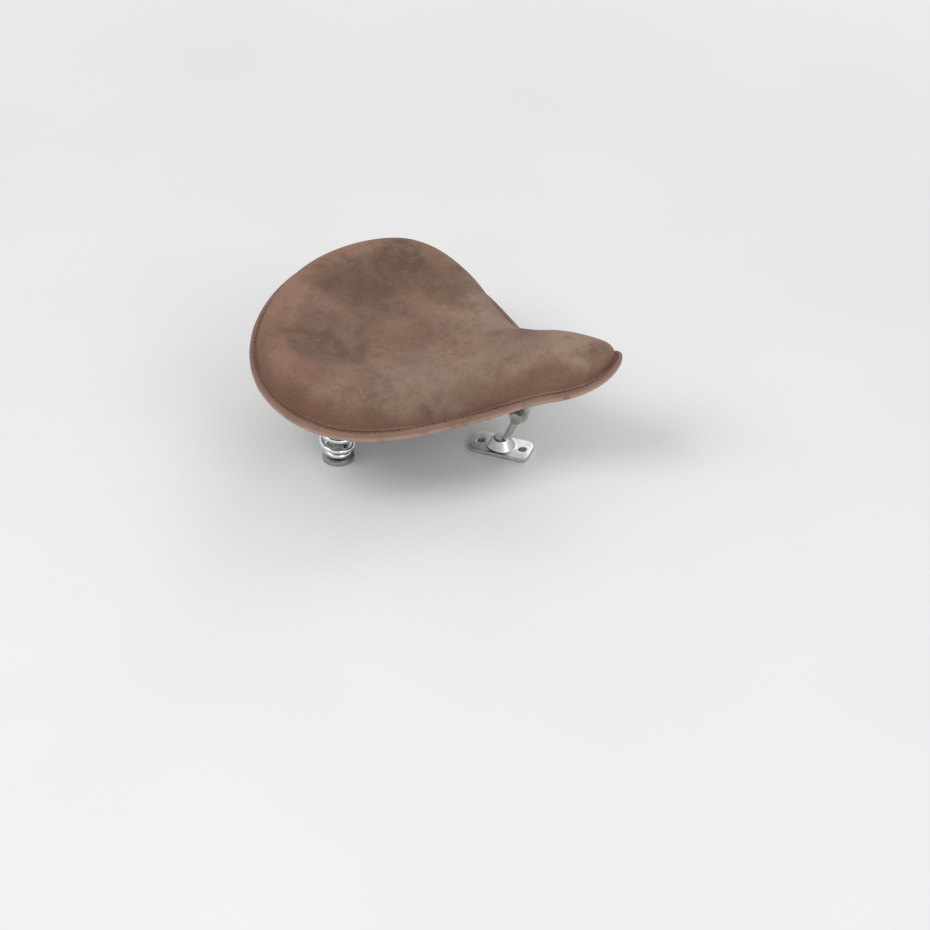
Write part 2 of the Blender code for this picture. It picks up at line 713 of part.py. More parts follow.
def flat_plate(name, material, points, thickness, collection):
    """A plate from a flat outline in X and Z, centred on Y, as a mesh with its caps welded."""
    curve = bpy.data.curves.new(name, "CURVE")
    curve.dimensions = "2D"
    curve.fill_mode = "BOTH"
    curve.extrude = thickness / 2
    spline = curve.splines.new("POLY")
    spline.points.add(len(points) - 1)
    for point, (x, z) in zip(spline.points, points):
        point.co = (x, z, 0, 1)
    spline.use_cyclic_u = True
    drawn = bpy.data.objects.new(name + "_outline", curve)
    CUTTERS.objects.link(drawn)
    bpy.context.view_layer.update()
    graph = bpy.context.evaluated_depsgraph_get()
    mesh_edit = bmesh.new()
    mesh_edit.from_mesh(bpy.data.meshes.new_from_object(drawn.evaluated_get(graph)))
    bpy.data.objects.remove(drawn)
    bmesh.ops.remove_doubles(mesh_edit, verts=mesh_edit.verts[:], dist=MERGE_DISTANCE)
    bmesh.ops.rotate(mesh_edit, verts=mesh_edit.verts[:], matrix=Matrix.Rotation(math.pi / 2, 3, "X"))
    bmesh.ops.recalc_face_normals(mesh_edit, faces=mesh_edit.faces[:])
    return add_mesh_object(name, mesh_edit, material, collection)


def clevis_ear_faces():
    """Distances of an ear's inner and outer face from the middle of the hinge, along its axis."""
    inner = BARREL_LENGTH / 2 + BUSH_FLANGE_THICKNESS + 2 * CLEARANCE
    return inner, inner + CLEVIS_EAR_THICKNESS


def build_clevis(frame):
    ear_inner, ear_outer = clevis_ear_faces()
    plate_mid = PIVOT_DROP - CLEVIS_PLATE_THICKNESS / 2
    plate_size = (CLEVIS_PLATE_LENGTH, 2 * ear_outer, CLEVIS_PLATE_THICKNESS)
    clevis = box("nose_clevis", ZINC, plate_size, bevel=CLEVIS_CORNER)
    clevis.parent = frame
    clevis.data.transform(Matrix.Translation((0, 0, plate_mid)))
    for side in (1, -1):
        middle = side * (ear_inner + ear_outer) / 2
        ear = flat_plate(f"clevis_ear_{side}", None, ear_outline(), CLEVIS_EAR_THICKNESS, CUTTERS)
        ear.data.transform(Matrix.Translation((0, middle, 0)))
        ear.parent = frame
        add_boolean(clevis, ear, "UNION")
    bore_radius = PIVOT_BOLT_RADIUS + CLEARANCE
    reach = ear_outer + BOOLEAN_OVERRUN
    profile = cylinder_profile(bore_radius, -reach, reach)
    bore = turned("clevis_bore", None, profile, (0, 0, 0), "Y", SMALL_ROUND_STEPS, CUTTERS)
    bore.parent = frame
    add_boolean(clevis, bore, "DIFFERENCE")
    for hole in clevis_bolt_holes(frame):
        add_boolean(clevis, hole, "DIFFERENCE")
    return clevis


def clevis_bolt_places():
    return [(s * CLEVIS_BOLT_SPACING / 2, label) for s, label in ((1, "front"), (-1, "rear"))]


def clevis_bolt_holes(frame):
    holes = []
    low = PIVOT_DROP - CLEVIS_PLATE_THICKNESS - BOOLEAN_OVERRUN
    high = PIVOT_DROP + CLEARANCE + CLEVIS_BOLT_BITE + CLEARANCE
    for x, label in clevis_bolt_places():
        profile = cylinder_profile(CLEVIS_BOLT_RADIUS + CLEARANCE, low, high)
        hole = turned(f"clevis_hole_{label}", None, profile, (x, 0, 0), "Z", SMALL_ROUND_STEPS, CUTTERS)
        hole.parent = frame
        holes.append(hole)
    return holes


def build_clevis_bolts(frame):
    washer_top = PIVOT_DROP - CLEVIS_PLATE_THICKNESS - CLEARANCE
    washer_low = washer_top - LOCK_WASHER_THICKNESS
    washer_ring = ring_profile(LOCK_WASHER_RADIUS, CLEVIS_BOLT_RADIUS + CLEARANCE, washer_low, washer_top)
    head_top = washer_low - CLEARANCE
    length = PIVOT_DROP + CLEARANCE + CLEVIS_BOLT_BITE - head_top
    bolt_sizes = (CLEVIS_BOLT_FLATS, CLEVIS_BOLT_HEAD, CLEVIS_BOLT_RADIUS, length)
    for x, label in clevis_bolt_places():
        place = (x, 0, head_top - CLEVIS_BOLT_HEAD)
        washer = turned("clevis_lock_washer_" + label, ZINC, washer_ring, (x, 0, 0), steps=SMALL_ROUND_STEPS)
        bolt = hex_bolt("clevis_bolt_" + label, ZINC, *bolt_sizes, place)
        washer.parent = bolt.parent = frame


def build_doubler(frame, pan_relief):
    """Block welded under the pan at the nose: its top follows the pan and its flat face takes the clevis."""
    size = (DOUBLER_LENGTH, DOUBLER_WIDTH, WELD_BLANK_HEIGHT)
    doubler = box("nose_doubler", BLACK_STEEL, size)
    doubler.data.transform(Matrix.Translation((0, 0, PIVOT_DROP + CLEARANCE + WELD_BLANK_HEIGHT / 2)))
    doubler.parent = frame
    add_boolean(doubler, pan_relief, "DIFFERENCE")
    for x, label in clevis_bolt_places():
        add_boolean(doubler, bpy.data.objects["clevis_hole_" + label], "DIFFERENCE")


def build_pivot_hardware(frame):
    """Hinge bolt from the right side, with a washer under its head and another under the nut."""
    bore = PIVOT_BOLT_RADIUS + CLEARANCE
    washer_low = clevis_ear_faces()[1] + CLEARANCE
    washer_outer = washer_low + PIVOT_WASHER_THICKNESS
    for side, label in ((1, "left"), (-1, "right")):
        profile = ring_profile(PIVOT_WASHER_RADIUS, bore, washer_low, washer_outer)
        washer = turned("pivot_washer_" + label, ZINC, profile, (0, 0, 0), steps=SMALL_ROUND_STEPS)
        washer.rotation_euler.x = -side * math.pi / 2
        washer.parent = frame
    face = washer_outer + CLEARANCE
    length = 2 * face + PIVOT_NUT_HEIGHT + PIVOT_BOLT_PAST_NUT
    bolt_sizes = (PIVOT_BOLT_FLATS, PIVOT_BOLT_HEAD, PIVOT_BOLT_RADIUS, length)
    bolt = hex_bolt("pivot_bolt", ZINC, *bolt_sizes, (0, -face - PIVOT_BOLT_HEAD, 0))
    nut = hex_nut("pivot_nut", ZINC, PIVOT_BOLT_FLATS, PIVOT_NUT_HEIGHT, bore, (0, 0, 0))
    cutter = bpy.data.objects["pivot_nut_bore"]
    cutter.parent = nut
    nut.location.y = face
    for piece in (bolt, nut):
        piece.rotation_euler.x = -math.pi / 2
        piece.parent = frame


def build_bushes(place):
    inner = PIVOT_BOLT_RADIUS + CLEARANCE
    outer = inner + BUSH_WALL
    face = BARREL_LENGTH / 2 + CLEARANCE
    profile = [
        (BUSH_FLANGE_RADIUS, face + BUSH_FLANGE_THICKNESS),
        (BUSH_FLANGE_RADIUS, face),
        (outer, face),
        (outer, face - BUSH_LENGTH),
        (inner, face - BUSH_LENGTH),
        (inner, face + BUSH_FLANGE_THICKNESS),
    ]
    for side, label in ((1, "left"), (-1, "right")):
        bush = turned("pivot_bush_" + label, BRONZE, profile, place, steps=SMALL_ROUND_STEPS)
        bush.rotation_euler.x = -side * math.pi / 2


def build_post_boss():
    """Forged boss on the foot plate, drawn in towards its top, that the strut grows out of."""
    profile = [
        (0, POST_BOSS_HEIGHT),
        (POST_BOSS_TOP_RADIUS, POST_BOSS_HEIGHT),
        (POST_BOSS_RADIUS, POST_FOOT_THICKNESS),
        (POST_BOSS_RADIUS, POST_FOOT_THICKNESS / 2),
        (0, POST_FOOT_THICKNESS / 2),
    ]
    return turned("post_boss", None, profile, (POST_FOOT_X, 0, 0), collection=CUTTERS)


def build_post_strut(root, top):
    """Round bar that leans forward from the boss to the hinge barrel."""
    run = top - root
    profile = cylinder_profile(POST_STRUT_RADIUS, 0, run.length)
    strut = turned("post_strut", None, profile, root, steps=SMALL_ROUND_STEPS, collection=CUTTERS)
    strut.rotation_euler.y = math.atan2(run.x, run.z)
    return strut


def build_front_post(place):
    """Frame-side post: a foot plate with two bolt holes and a boss, a leaning strut and the hinge barrel."""
    root = Vector((POST_FOOT_X, 0, POST_FOOT_THICKNESS / 2))
    foot_size = (POST_FOOT_LENGTH, POST_FOOT_WIDTH, POST_FOOT_THICKNESS)
    post = box("front_post", CHROME, foot_size, root, bevel=POST_FOOT_CORNER)
    bush_outer = PIVOT_BOLT_RADIUS + CLEARANCE + BUSH_WALL
    bore_radius = bush_outer + CLEARANCE
    half = BARREL_LENGTH / 2
    reach = half + BOOLEAN_OVERRUN
    barrel_profile = cylinder_profile(bore_radius + BARREL_WALL, -half, half)
    bore_profile = cylinder_profile(bore_radius, -reach, reach)
    barrel = turned("post_barrel", None, barrel_profile, place, "Y", collection=CUTTERS)
    bore = turned("post_bore", None, bore_profile, place, "Y", SMALL_ROUND_STEPS, CUTTERS)
    for piece in (build_post_boss(), build_post_strut(root, place), barrel):
        add_boolean(post, piece, "UNION")
    add_boolean(post, bore, "DIFFERENCE")
    hole_profile = cylinder_profile(POST_HOLE_RADIUS, -BOOLEAN_OVERRUN, POST_FOOT_THICKNESS + BOOLEAN_OVERRUN)
    for side, label in ((1, "front"), (-1, "rear")):
        hole_place = (POST_FOOT_X + side * POST_HOLE_SPACING / 2, 0, 0)
        hole = turned("post_hole_" + label, None, hole_profile, hole_place, "Z", SMALL_ROUND_STEPS, CUTTERS)
        add_boolean(post, hole, "DIFFERENCE")


def main():
    pan = build_pan()
    relief = build_pan_relief()
    band = build_edge_band()
    build_cover_and_foam()
    build_hem_rivets(pan, band)
    for label, side in (("left", 1), ("right", -1)):
        build_spring_stack(label, side, relief)
    frame = clevis_frame()
    build_clevis(frame)
    build_clevis_bolts(frame)
    build_doubler(frame, relief)
    build_pivot_hardware(frame)
    build_bushes(frame.location)
    build_front_post(frame.location)
    print(f"hinge axis at x {frame.location.x / MM:.2f} mm, z {frame.location.z / MM:.2f} mm")


main()
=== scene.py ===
"""Looks of the sprung solo seat: a padded leather cover, a rolled and sewn leather edge, chrome barrel
springs, and the finishes of the steel parts under them. Metres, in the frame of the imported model: nose +X,
left +Y."""

import json
import math

import bmesh
import bpy
import numpy as np
from mathutils import Matrix, Vector, noise
from mathutils.geometry import interpolate_bezier


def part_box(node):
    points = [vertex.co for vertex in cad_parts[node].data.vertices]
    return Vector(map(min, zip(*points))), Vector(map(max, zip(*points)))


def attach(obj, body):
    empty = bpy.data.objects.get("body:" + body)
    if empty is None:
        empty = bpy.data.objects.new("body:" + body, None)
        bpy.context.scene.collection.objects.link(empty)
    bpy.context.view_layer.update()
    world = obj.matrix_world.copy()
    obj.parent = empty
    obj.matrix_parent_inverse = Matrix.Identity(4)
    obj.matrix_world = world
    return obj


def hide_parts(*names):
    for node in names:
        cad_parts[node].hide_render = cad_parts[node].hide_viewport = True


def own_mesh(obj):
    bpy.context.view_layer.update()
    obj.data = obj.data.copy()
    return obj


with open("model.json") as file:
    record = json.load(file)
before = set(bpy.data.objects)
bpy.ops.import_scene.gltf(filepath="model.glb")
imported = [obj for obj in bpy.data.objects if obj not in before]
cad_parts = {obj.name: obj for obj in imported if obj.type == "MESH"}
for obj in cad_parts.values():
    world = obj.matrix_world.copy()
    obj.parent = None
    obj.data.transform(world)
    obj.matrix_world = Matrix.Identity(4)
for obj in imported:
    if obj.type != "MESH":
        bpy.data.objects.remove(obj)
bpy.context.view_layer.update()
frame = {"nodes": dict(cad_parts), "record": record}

MM = 0.001
FULL_TURN = 2 * math.pi

# Plan outline and side profile of the rim, as the pan and the band have them
SEAT_LENGTH = 385 * MM
SEAT_WIDTH = 333 * MM
REAR_X = -SEAT_LENGTH / 2
TIP_X = SEAT_LENGTH / 2
WIDEST_X = REAR_X + 122.5 * MM
SHOULDER_X = TIP_X - 58.5 * MM
SHOULDER_HALF_WIDTH = 39 * MM
REAR_ROUNDNESS = 90 * MM
WIDEST_REAR_HANDLE = 82 * MM
WIDEST_FRONT_HANDLE = 84 * MM
SHOULDER_REAR_HANDLE = 52 * MM
SHOULDER_FRONT_HANDLE = 24 * MM
NOSE_ROUNDNESS = 38 * MM
RIM_LOW_X = TIP_X - 131.5 * MM
RIM_LOW_Z = 87 * MM
REAR_RISE = 37 * MM
NOSE_RISE = 49 * MM

# Points round the rim: samples of each span, crowding in bends, and steps along half the rim
OUTLINE_SAMPLES = 60
BEND_WEIGHT = 0.5
COVER_STEPS = 88
BAND_STEPS = 150

# Meshes: doubles merged, slivers dissolved, corners kept sharp
MERGE_DISTANCE = 0.02 * MM
SLIVER_LENGTH = 0.01 * MM
KEPT_CORNER = math.radians(50)

# Leather edge band
BAND_THICKNESS = 9 * MM
BAND_TOP_WIDTH = 11.5 * MM
BAND_UNDER_WIDTH = 18 * MM
BAND_UNDER_THICKNESS = 2.7 * MM
BAND_SLOT_TOP = 6.2 * MM
BAND_SLOT_END = 4.5 * MM
BAND_EDGE_ROUND = 3 * MM
BAND_EDGE_ANGLES = np.radians((0, 22, 45, 67, 90))
BAND_HEM_ROUND = 0.6 * MM
BAND_WAVER = 0.25 * MM
BAND_WAVER_SCALE = 45
# Lower outer edge of the band: rubbed wear with a painted highlight
BAND_WORN_HIGHLIT_SHARE = 0.40
BAND_WORN_HIGHLIT_FADE = 0.45

# Padded cover: its foot on the band, its crown along the seat, its dish and its waist
FOOT_GAP = 0.3 * MM
COVER_FOOT = BAND_THICKNESS + FOOT_GAP
COVER_INSET = 7.5 * MM
WALL_MARGIN = 0.1 * MM
GROOVE_MARGIN = 0.5 * MM
CROWN_MARKS = (
    (REAR_X, 22.5 * MM),
    (REAR_X + 113.5 * MM, 39 * MM),
    (TIP_X - 147.5 * MM, 23 * MM),
    (TIP_X - 73.5 * MM, 51 * MM),
    (TIP_X, 23 * MM),
)
SHOULDER_RADIUS = 30 * MM
SHOULDER_POWER = 2.3
SEAT_DISH_DEPTH = 14 * MM
SEAT_DISH_RAMP = 75 * MM
SEAT_DISH_END_X = TIP_X - 92.5 * MM
SEAT_DISH_FADE = 100 * MM
WAIST_FILL = 10 * MM
WAIST_FILL_X = TIP_X - 136.5 * MM
WAIST_FILL_REACH = 52 * MM
WAIST_FILL_RAMP = 50 * MM
WAIST_EASE = 15 * MM
WAIST_EASE_X = TIP_X - 157.5 * MM
WAIST_EASE_REACH = 50 * MM
WAIST_EASE_POWER = 0.8

# Rings of the cover's blank: shares of the way from its spine to the rim, and of the wall's height
SPINE_REAR_X = REAR_X + 117.5 * MM
SPINE_FRONT_X = TIP_X - 67.5 * MM
SPINE_BY_LENGTH = 0.8
SPINE_BY_TURN = 0.2
TOP_EVEN_SHARE = 0.72
TOP_EVEN_RINGS = 11
TOP_CROWDED_RINGS = 13
TOP_CROWDING = 1.7
FOOT_LEVELS = (0.62, 0.40, 0.22, 0.09, 0.0)
FOOT_FLARE = 2 * MM
FOOT_FLARE_POWER = 4
UNDER_LEVELS = (0.97, 0.8, 0.5, 0.2, 0)

# Swelling of the padding in a short cloth run, and the unevenness of hand work
SWELL_ALLOWANCE = 0.6 * MM
DISH_ALLOWANCE = 3 * MM
SWELL_CAP = 3.5 * MM
SWELL_FRAMES = 20
SWELL_PRESSURE = 4
SWELL_QUALITY = 8
SWELL_MASS = 0.5
SWELL_STIFFNESS = 25
SWELL_SHEAR = 10
SWELL_BENDING = 4
HELD_HEIGHT = 4 * MM
HAND_WORK = 0.7 * MM
HAND_WORK_SCALE = 16
HAND_WORK_FADE = 10 * MM

# Marks on the cover that its material reads: a painted highlight on the rear bolster, painted shade down the
# wall and along the foot
BOLSTER_FRONT_X = -20 * MM
BOLSTER_FADE = 80 * MM
BOLSTER_INNER = 14 * MM
BOLSTER_OUTER = 46 * MM
WALL_SHADE_FACING = 0.72
WALL_SHADE_FADE = 0.5
FOOT_SHADE_HEIGHT = 4 * MM

# Sewn row on the band
STITCH_INSET = 4.6 * MM
STITCH_PITCH = 6.2 * MM
STITCH_LENGTH = 4.4 * MM
STITCH_RADIUS = 0.55 * MM
STITCH_SEGMENTS = 8
STITCH_RINGS = 6

# Hem rivets
RIVET_SEAT = 0.2 * MM
RIVET_RADIUS = 4.5 * MM
RIVET_HEIGHT = 1.7 * MM
RIVET_SEGMENTS = 24
RIVET_RINGS = 12
SLOPE_STEP = 1 * MM

# Broken edges of the steel pieces, and fillets of the forged post
CAD_MERGE = 0.005 * MM
FLAT_BEND = math.radians(0.5)
EDGE_BREAK = 0.4 * MM
EDGE_SEGMENTS = 2
SHARP_BEND = math.radians(34)
FORGED_VOXEL = 0.7 * MM
FORGED_EASING = 8
FORGED_EASING_FACTOR = 0.5

# Barrel springs, and the lever and swing of the seat's hinge above them
SPRING_X = REAR_X + 105.5 * MM
SPRING_Y = 75 * MM
SPRING_TURNS = 5.0
SPRING_WIRE = 6 * MM
SPRING_WIRE_ROUNDNESS = 4
SPRING_END_RADIUS = 11.5 * MM
SPRING_MID_RADIUS = 17 * MM
SPRING_TAPER_TURNS = 1.5
SPRING_END_PITCH_CUT = 0.35
SPRING_POINTS_PER_TURN = 32
JOINTS = {joint["name"]: joint for joint in frame["record"]["behaviour"]["joints"]}
SPRING_LEVER = JOINTS["seat_pivot"]["pos_m"][0] - SPRING_X
SPRING_SWING = math.radians(JOINTS["seat_pivot"]["range_deg"][1])

# Studio: the floor, the light all round, and each lamp's name, place, size and power
FLOOR_KEPT = 0.75
FLOOR_REACH = 1.6
FLOOR_SEGMENTS = 64
FLOOR_DROP = -0.2 * MM
WORLD_LIGHT = 0.55
WORLD_SEEN = 0.86
LAMP_AIM = Vector((0, 0, 0.1))
LAMPS = (
    ("key", (-1.3, -1.6, 2.6), 1.6, 42),
    ("fill", (2.2, -1.2, 1.6), 1.8, 21),
    ("back", (0.2, 2.4, 2.0), 1.8, 16),
)

# Camera, found by fitting the rim's outline to the photograph
CAMERA_PLACE = Vector((0.6272, -1.7142, 1.3640))
CAMERA_AIM = Vector((0.0284, 0.0, -0.0331))
CAMERA_ROLL = math.radians(0.9)
CAMERA_LENS = 82.32
CAMERA_SENSOR = 36


def smoothstep(value):
    """0 up to 0, 1 from 1, smooth between them."""
    t = np.clip(value, 0.0, 1.0)
    return t * t * (3 - 2 * t)


def half_outline(samples):
    """The band's outer edge in plan, from the rear to the tip of the nose, on the left side."""
    rear, tip = Vector((REAR_X, 0)), Vector((TIP_X, 0))
    widest = Vector((WIDEST_X, SEAT_WIDTH / 2))
    shoulder = Vector((SHOULDER_X, SHOULDER_HALF_WIDTH))
    across, along = Vector((0, 1)), Vector((1, 0))
    spans = (
        (rear, rear + across * REAR_ROUNDNESS, widest - along * WIDEST_REAR_HANDLE, widest),
        (widest, widest + along * WIDEST_FRONT_HANDLE, shoulder - along * SHOULDER_REAR_HANDLE, shoulder),
        (shoulder, shoulder + along * SHOULDER_FRONT_HANDLE, tip + across * NOSE_ROUNDNESS, tip),
    )
    points = [rear]
    for span in spans:
        points += interpolate_bezier(*span, samples)[1:]
    return np.array([(p.x, p.y) for p in points])


OUTLINE = half_outline(OUTLINE_SAMPLES)


def rim_stations(count):
    """Points round the whole rim, from the rear by the left side to the tip and back by the right side,
    closer together where the outline bends, with the inward normal at each."""
    steps = np.diff(OUTLINE, axis=0)
    run = np.concatenate([[0], np.cumsum(np.hypot(*steps.T))])
    heading = np.unwrap(np.arctan2(steps[:, 1], steps[:, 0]))
    bend = np.concatenate([[0, 0], np.cumsum(np.abs(np.diff(heading)))])
    measure = run / run[-1] + BEND_WEIGHT * bend / bend[-1]
    wanted = np.interp(np.linspace(0, measure[-1], count + 1), measure, run)
    tangent = np.gradient(OUTLINE, run, axis=0)
    left = np.stack([np.interp(wanted, run, OUTLINE[:, i]) for i in (0, 1)], axis=1)
    along = np.stack([np.interp(wanted, run, tangent[:, i]) for i in (0, 1)], axis=1)
    along[0], along[-1] = (0, 1), (0, -1)
    inward = np.stack([along[:, 1], -along[:, 0]], axis=1)
    inward /= np.linalg.norm(inward, axis=1)[:, None]
    mirror = np.array((1, -1))
    points = np.vstack([left, left[-2:0:-1] * mirror])
    normals = np.vstack([inward, inward[-2:0:-1] * mirror])
    return points, normals


def rim_z(x):
    """Height of the band's underside along the seat."""
    behind = REAR_RISE * (np.clip(RIM_LOW_X - x, 0, None) / (RIM_LOW_X - REAR_X)) ** 2
    ahead = NOSE_RISE * (np.clip(x - RIM_LOW_X, 0, None) / (TIP_X - RIM_LOW_X)) ** 2
    return RIM_LOW_Z + behind + ahead


def edge_distance(x, y):
    """Distance in plan from points to the band's outer edge."""
    starts, run = OUTLINE[:-1], np.diff(OUTLINE, axis=0)
    offset = np.stack([x, np.abs(y)], axis=1)[:, None, :] - starts
    share = np.clip((offset * run).sum(axis=2) / (run * run).sum(axis=1), 0, 1)
    return np.sqrt(((offset - run * share[..., None]) ** 2).sum(axis=2)).min(axis=1)


def cover_height(x, y):
    """Top of the padding before it swells: full over the lobes, dished between them, low at the waist and
    highest on the nose."""
    crown = np.full_like(x, CROWN_MARKS[0][1])
    for (x0, h0), (x1, h1) in zip(CROWN_MARKS, CROWN_MARKS[1:]):
        crown += (h1 - h0) * smoothstep((x - x0) / (x1 - x0))
    inside = np.clip(edge_distance(x, y) - COVER_INSET - WALL_MARGIN, 0, None)
    eased = smoothstep(1 - np.abs(x - WAIST_EASE_X) / WAIST_EASE_REACH)
    left = 1 - np.clip(inside / (SHOULDER_RADIUS + WAIST_EASE * eased), 0, 1)
    power = SHOULDER_POWER - WAIST_EASE_POWER * eased
    rise = (1 - left**power) ** (1 / power)
    dish = (SEAT_DISH_DEPTH + DISH_ALLOWANCE) * smoothstep((SEAT_DISH_END_X - x) / SEAT_DISH_FADE)
    dish *= smoothstep((inside - SHOULDER_RADIUS / 2) / SEAT_DISH_RAMP)
    waist = WAIST_FILL * smoothstep(1 - np.abs(x - WAIST_FILL_X) / WAIST_FILL_REACH)
    waist *= smoothstep(inside / WAIST_FILL_RAMP)
    return rim_z(x) + COVER_FOOT + (crown - SWELL_ALLOWANCE) * rise - dish + waist


class Wire:
    """A socket's value. Sums, differences and products of wires and numbers add Math nodes."""

    def __init__(self, shade, socket):
        self.shade = shade
        self.socket = socket

    def math(self, operation, *values):
        inputs = dict(enumerate(values))
        return self.shade.node("ShaderNodeMath", {"operation": operation}, inputs)

    def __add__(self, other):
        return self.math("ADD", self, other)

    def __radd__(self, other):
        return self.math("ADD", other, self)

    def __rsub__(self, other):
        return self.math("SUBTRACT", other, self)

    def __mul__(self, other):
        return self.math("MULTIPLY", self, other)

    def __rmul__(self, other):
        return self.math("MULTIPLY", other, self)

    def ramp(self, low, high):
        """0 at low, 1 at high, smooth between them."""
        settings = {"interpolation_type": "SMOOTHSTEP", "clamp": True}
        inputs = {"Value": self, "From Min": low, "From Max": high}
        return self.shade.node("ShaderNodeMapRange", settings, inputs)


class Shade:
    """A material under construction."""

    MIXED_COLORS = (6, 7)
    MIX_RESULT = 2
    NOISE_MIDDLE = 0.5
    STRAY_DETAIL = 6.0
    SPOT_CORE = 0.25

    def __init__(self, name):
        self.material = bpy.data.materials.new(name)
        self.material.use_nodes = True
        self.tree = self.material.node_tree
        self.surface = self.tree.nodes["Principled BSDF"]
        self.place = self.node("ShaderNodeTexCoord", out="Object")

    def node(self, kind, settings=None, inputs=None, out=0):
        """Adds a node, sets it up, fills or links its inputs and gives one of its outputs."""
        added = self.tree.nodes.new(kind)
        for key, value in (settings or {}).items():
            setattr(added, key, value)
        for key, value in (inputs or {}).items():
            self.feed(added.inputs[key], value)
        return Wire(self, added.outputs[out])

    def feed(self, socket, value):
        if isinstance(value, Wire):
            self.tree.links.new(value.socket, socket)
        else:
            socket.default_value = value

    def set(self, **values):
        """Sets the surface's sockets, by names in which _ stands for a space."""
        for key, value in values.items():
            self.feed(self.surface.inputs[key.replace("_", " ")], value)
        return self.material

    def grain(self, scale, detail, roughness=0.55, warp=0.0):
        """Noise from 0 to 1. Scale is in patches per metre."""
        inputs = {
            "Vector": self.place,
            "Scale": scale,
            "Detail": detail,
            "Roughness": roughness,
            "Distortion": warp,
        }
        return self.node("ShaderNodeTexNoise", {"normalize": True}, inputs)

    def cells(self, scale, place):
        """Distance to the nearest border between cells, at a place. Scale is in cells per metre."""
        settings = {"feature": "DISTANCE_TO_EDGE"}
        inputs = {"Vector": place, "Scale": scale}
        return self.node("ShaderNodeTexVoronoi", settings, inputs, "Distance")

    def blend(self, share, first, second):
        """Mixes two colours, each a wire or three numbers."""
        inputs = {0: share}
        for slot, color in zip(self.MIXED_COLORS, (first, second)):
            inputs[slot] = color if isinstance(color, Wire) else (*color, 1.0)
        return self.node("ShaderNodeMix", {"data_type": "RGBA"}, inputs, self.MIX_RESULT)

    def stain(self, tone, color, share, strength):
        """A tone that turns to a colour where the share is high, as far as a strength allows."""
        return self.blend(share * strength, tone, color)

    def strayed(self, scale, reach):
        """Object coordinates that wander by up to half a reach, so that what is drawn on them has ragged
        edges."""
        inputs = {"Vector": self.place, "Scale": scale, "Detail": self.STRAY_DETAIL}
        wander = self.node("ShaderNodeTexNoise", {}, inputs, "Color")
        inputs = {0: wander, 1: (self.NOISE_MIDDLE,) * 3}
        middle = self.node("ShaderNodeVectorMath", {"operation": "SUBTRACT"}, inputs)
        inputs = {0: middle, 1: (reach,) * 3, 2: self.place}
        return self.node("ShaderNodeVectorMath", {"operation": "MULTIPLY_ADD"}, inputs)

    def spot(self, centre, radius, place):
        """1 at a place on the object, falling to 0 at a radius."""
        away = self.node("ShaderNodeVectorMath", {"operation": "DISTANCE"}, {0: place, 1: centre}, "Value")
        return away.ramp(radius, radius * self.SPOT_CORE)

    def attribute(self, name):
        return self.node("ShaderNodeAttribute", {"attribute_name": name}, out="Fac")

    def bump(self, height, depth, strength, under=None):
        inputs = {"Height": height, "Distance": depth, "Strength": strength}
        if under:
            inputs["Normal"] = under
        return self.node("ShaderNodeBump", {}, inputs, "Normal")


def srgb(*channels):
    """Linear colour from the 0 to 255 values of a picture."""
    shares = (c / 255 for c in channels)
    return tuple(s / 12.92 if s <= 0.04045 else ((s + 0.055) / 1.055) ** 2.4 for s in shares)


LEATHER_MID = srgb(139, 110, 95)
LEATHER_DARK = srgb(96, 72, 57)
LEATHER_PALE = srgb(166, 141, 125)
LEATHER_GREY = srgb(142, 123, 107)
LEATHER_RED = srgb(128, 90, 76)
# Painted highlight on the rounding of the rear bolster
BOLSTER_HIGHLIGHT_TONE = srgb(156, 117, 98)
# Painted shade down the cover's steep wall
WALL_SHADE_TONE = srgb(117, 81, 67)
LEATHER_BAND = srgb(146, 116, 103)
# Rubbed wear and a painted highlight on the band's lower edge
EDGE_WEAR_AND_HIGHLIGHT = srgb(182, 151, 135)
# Painted shade in the groove where the cover's foot meets the band
GROOVE_SHADE = srgb(92, 60, 49)
LEATHER_SHEEN = 0.28

# Wear on the cover, and painted shade in its rear dish: place, radius and strength of each darkened, rubbed
# or bleached patch
DARK_AND_SHADED_PATCHES = (
    ((-0.108, -0.066, 0.140), 0.064, 0.92),
    ((-0.096, 0.040, 0.135), 0.058, 0.98),
    ((-0.088, 0.105, 0.140), 0.054, 0.96),
    ((-0.129, 0.047, 0.146), 0.050, 0.88),
    ((-0.036, 0.092, 0.131), 0.045, 0.56),
    ((-0.098, -0.022, 0.136), 0.030, 0.35),
    ((-0.030, -0.010, 0.125), 0.035, 0.30),
    ((-0.085, -0.158, 0.120), 0.045, 0.40),
    ((-0.090, -0.118, 0.147), 0.044, 0.44),
    ((0.032, -0.103, 0.102), 0.030, 0.72),
    ((0.056, -0.070, 0.111), 0.034, 0.48),
    ((0.176, -0.008, 0.152), 0.024, 0.60),
)
RUBBED_PATCHES = (
    ((0.012, -0.085, 0.122), 0.075, 0.85),
    ((0.070, -0.020, 0.134), 0.060, 0.65),
    ((0.140, -0.010, 0.155), 0.055, 0.75),
    ((0.020, 0.055, 0.125), 0.055, 0.45),
)
BLEACHED_PATCHES = (
    ((0.142, 0.010, 0.160), 0.060, 0.33),
    ((0.120, -0.040, 0.140), 0.050, 0.28),
    ((0.178, -0.012, 0.150), 0.045, 0.36),
    ((0.026, -0.018, 0.114), 0.050, 0.36),
    ((0.004, 0.080, 0.123), 0.050, 0.32),
    ((0.146, -0.032, 0.129), 0.040, 0.42),
    ((-0.045, -0.139, 0.135), 0.038, 0.28),
    ((0.034, 0.046, 0.119), 0.045, 0.34),
)
WEAR_AND_SHADE = (
    (RUBBED_PATCHES, LEATHER_GREY),
    (BLEACHED_PATCHES, LEATHER_PALE),
    (DARK_AND_SHADED_PATCHES, LEATHER_DARK),
)


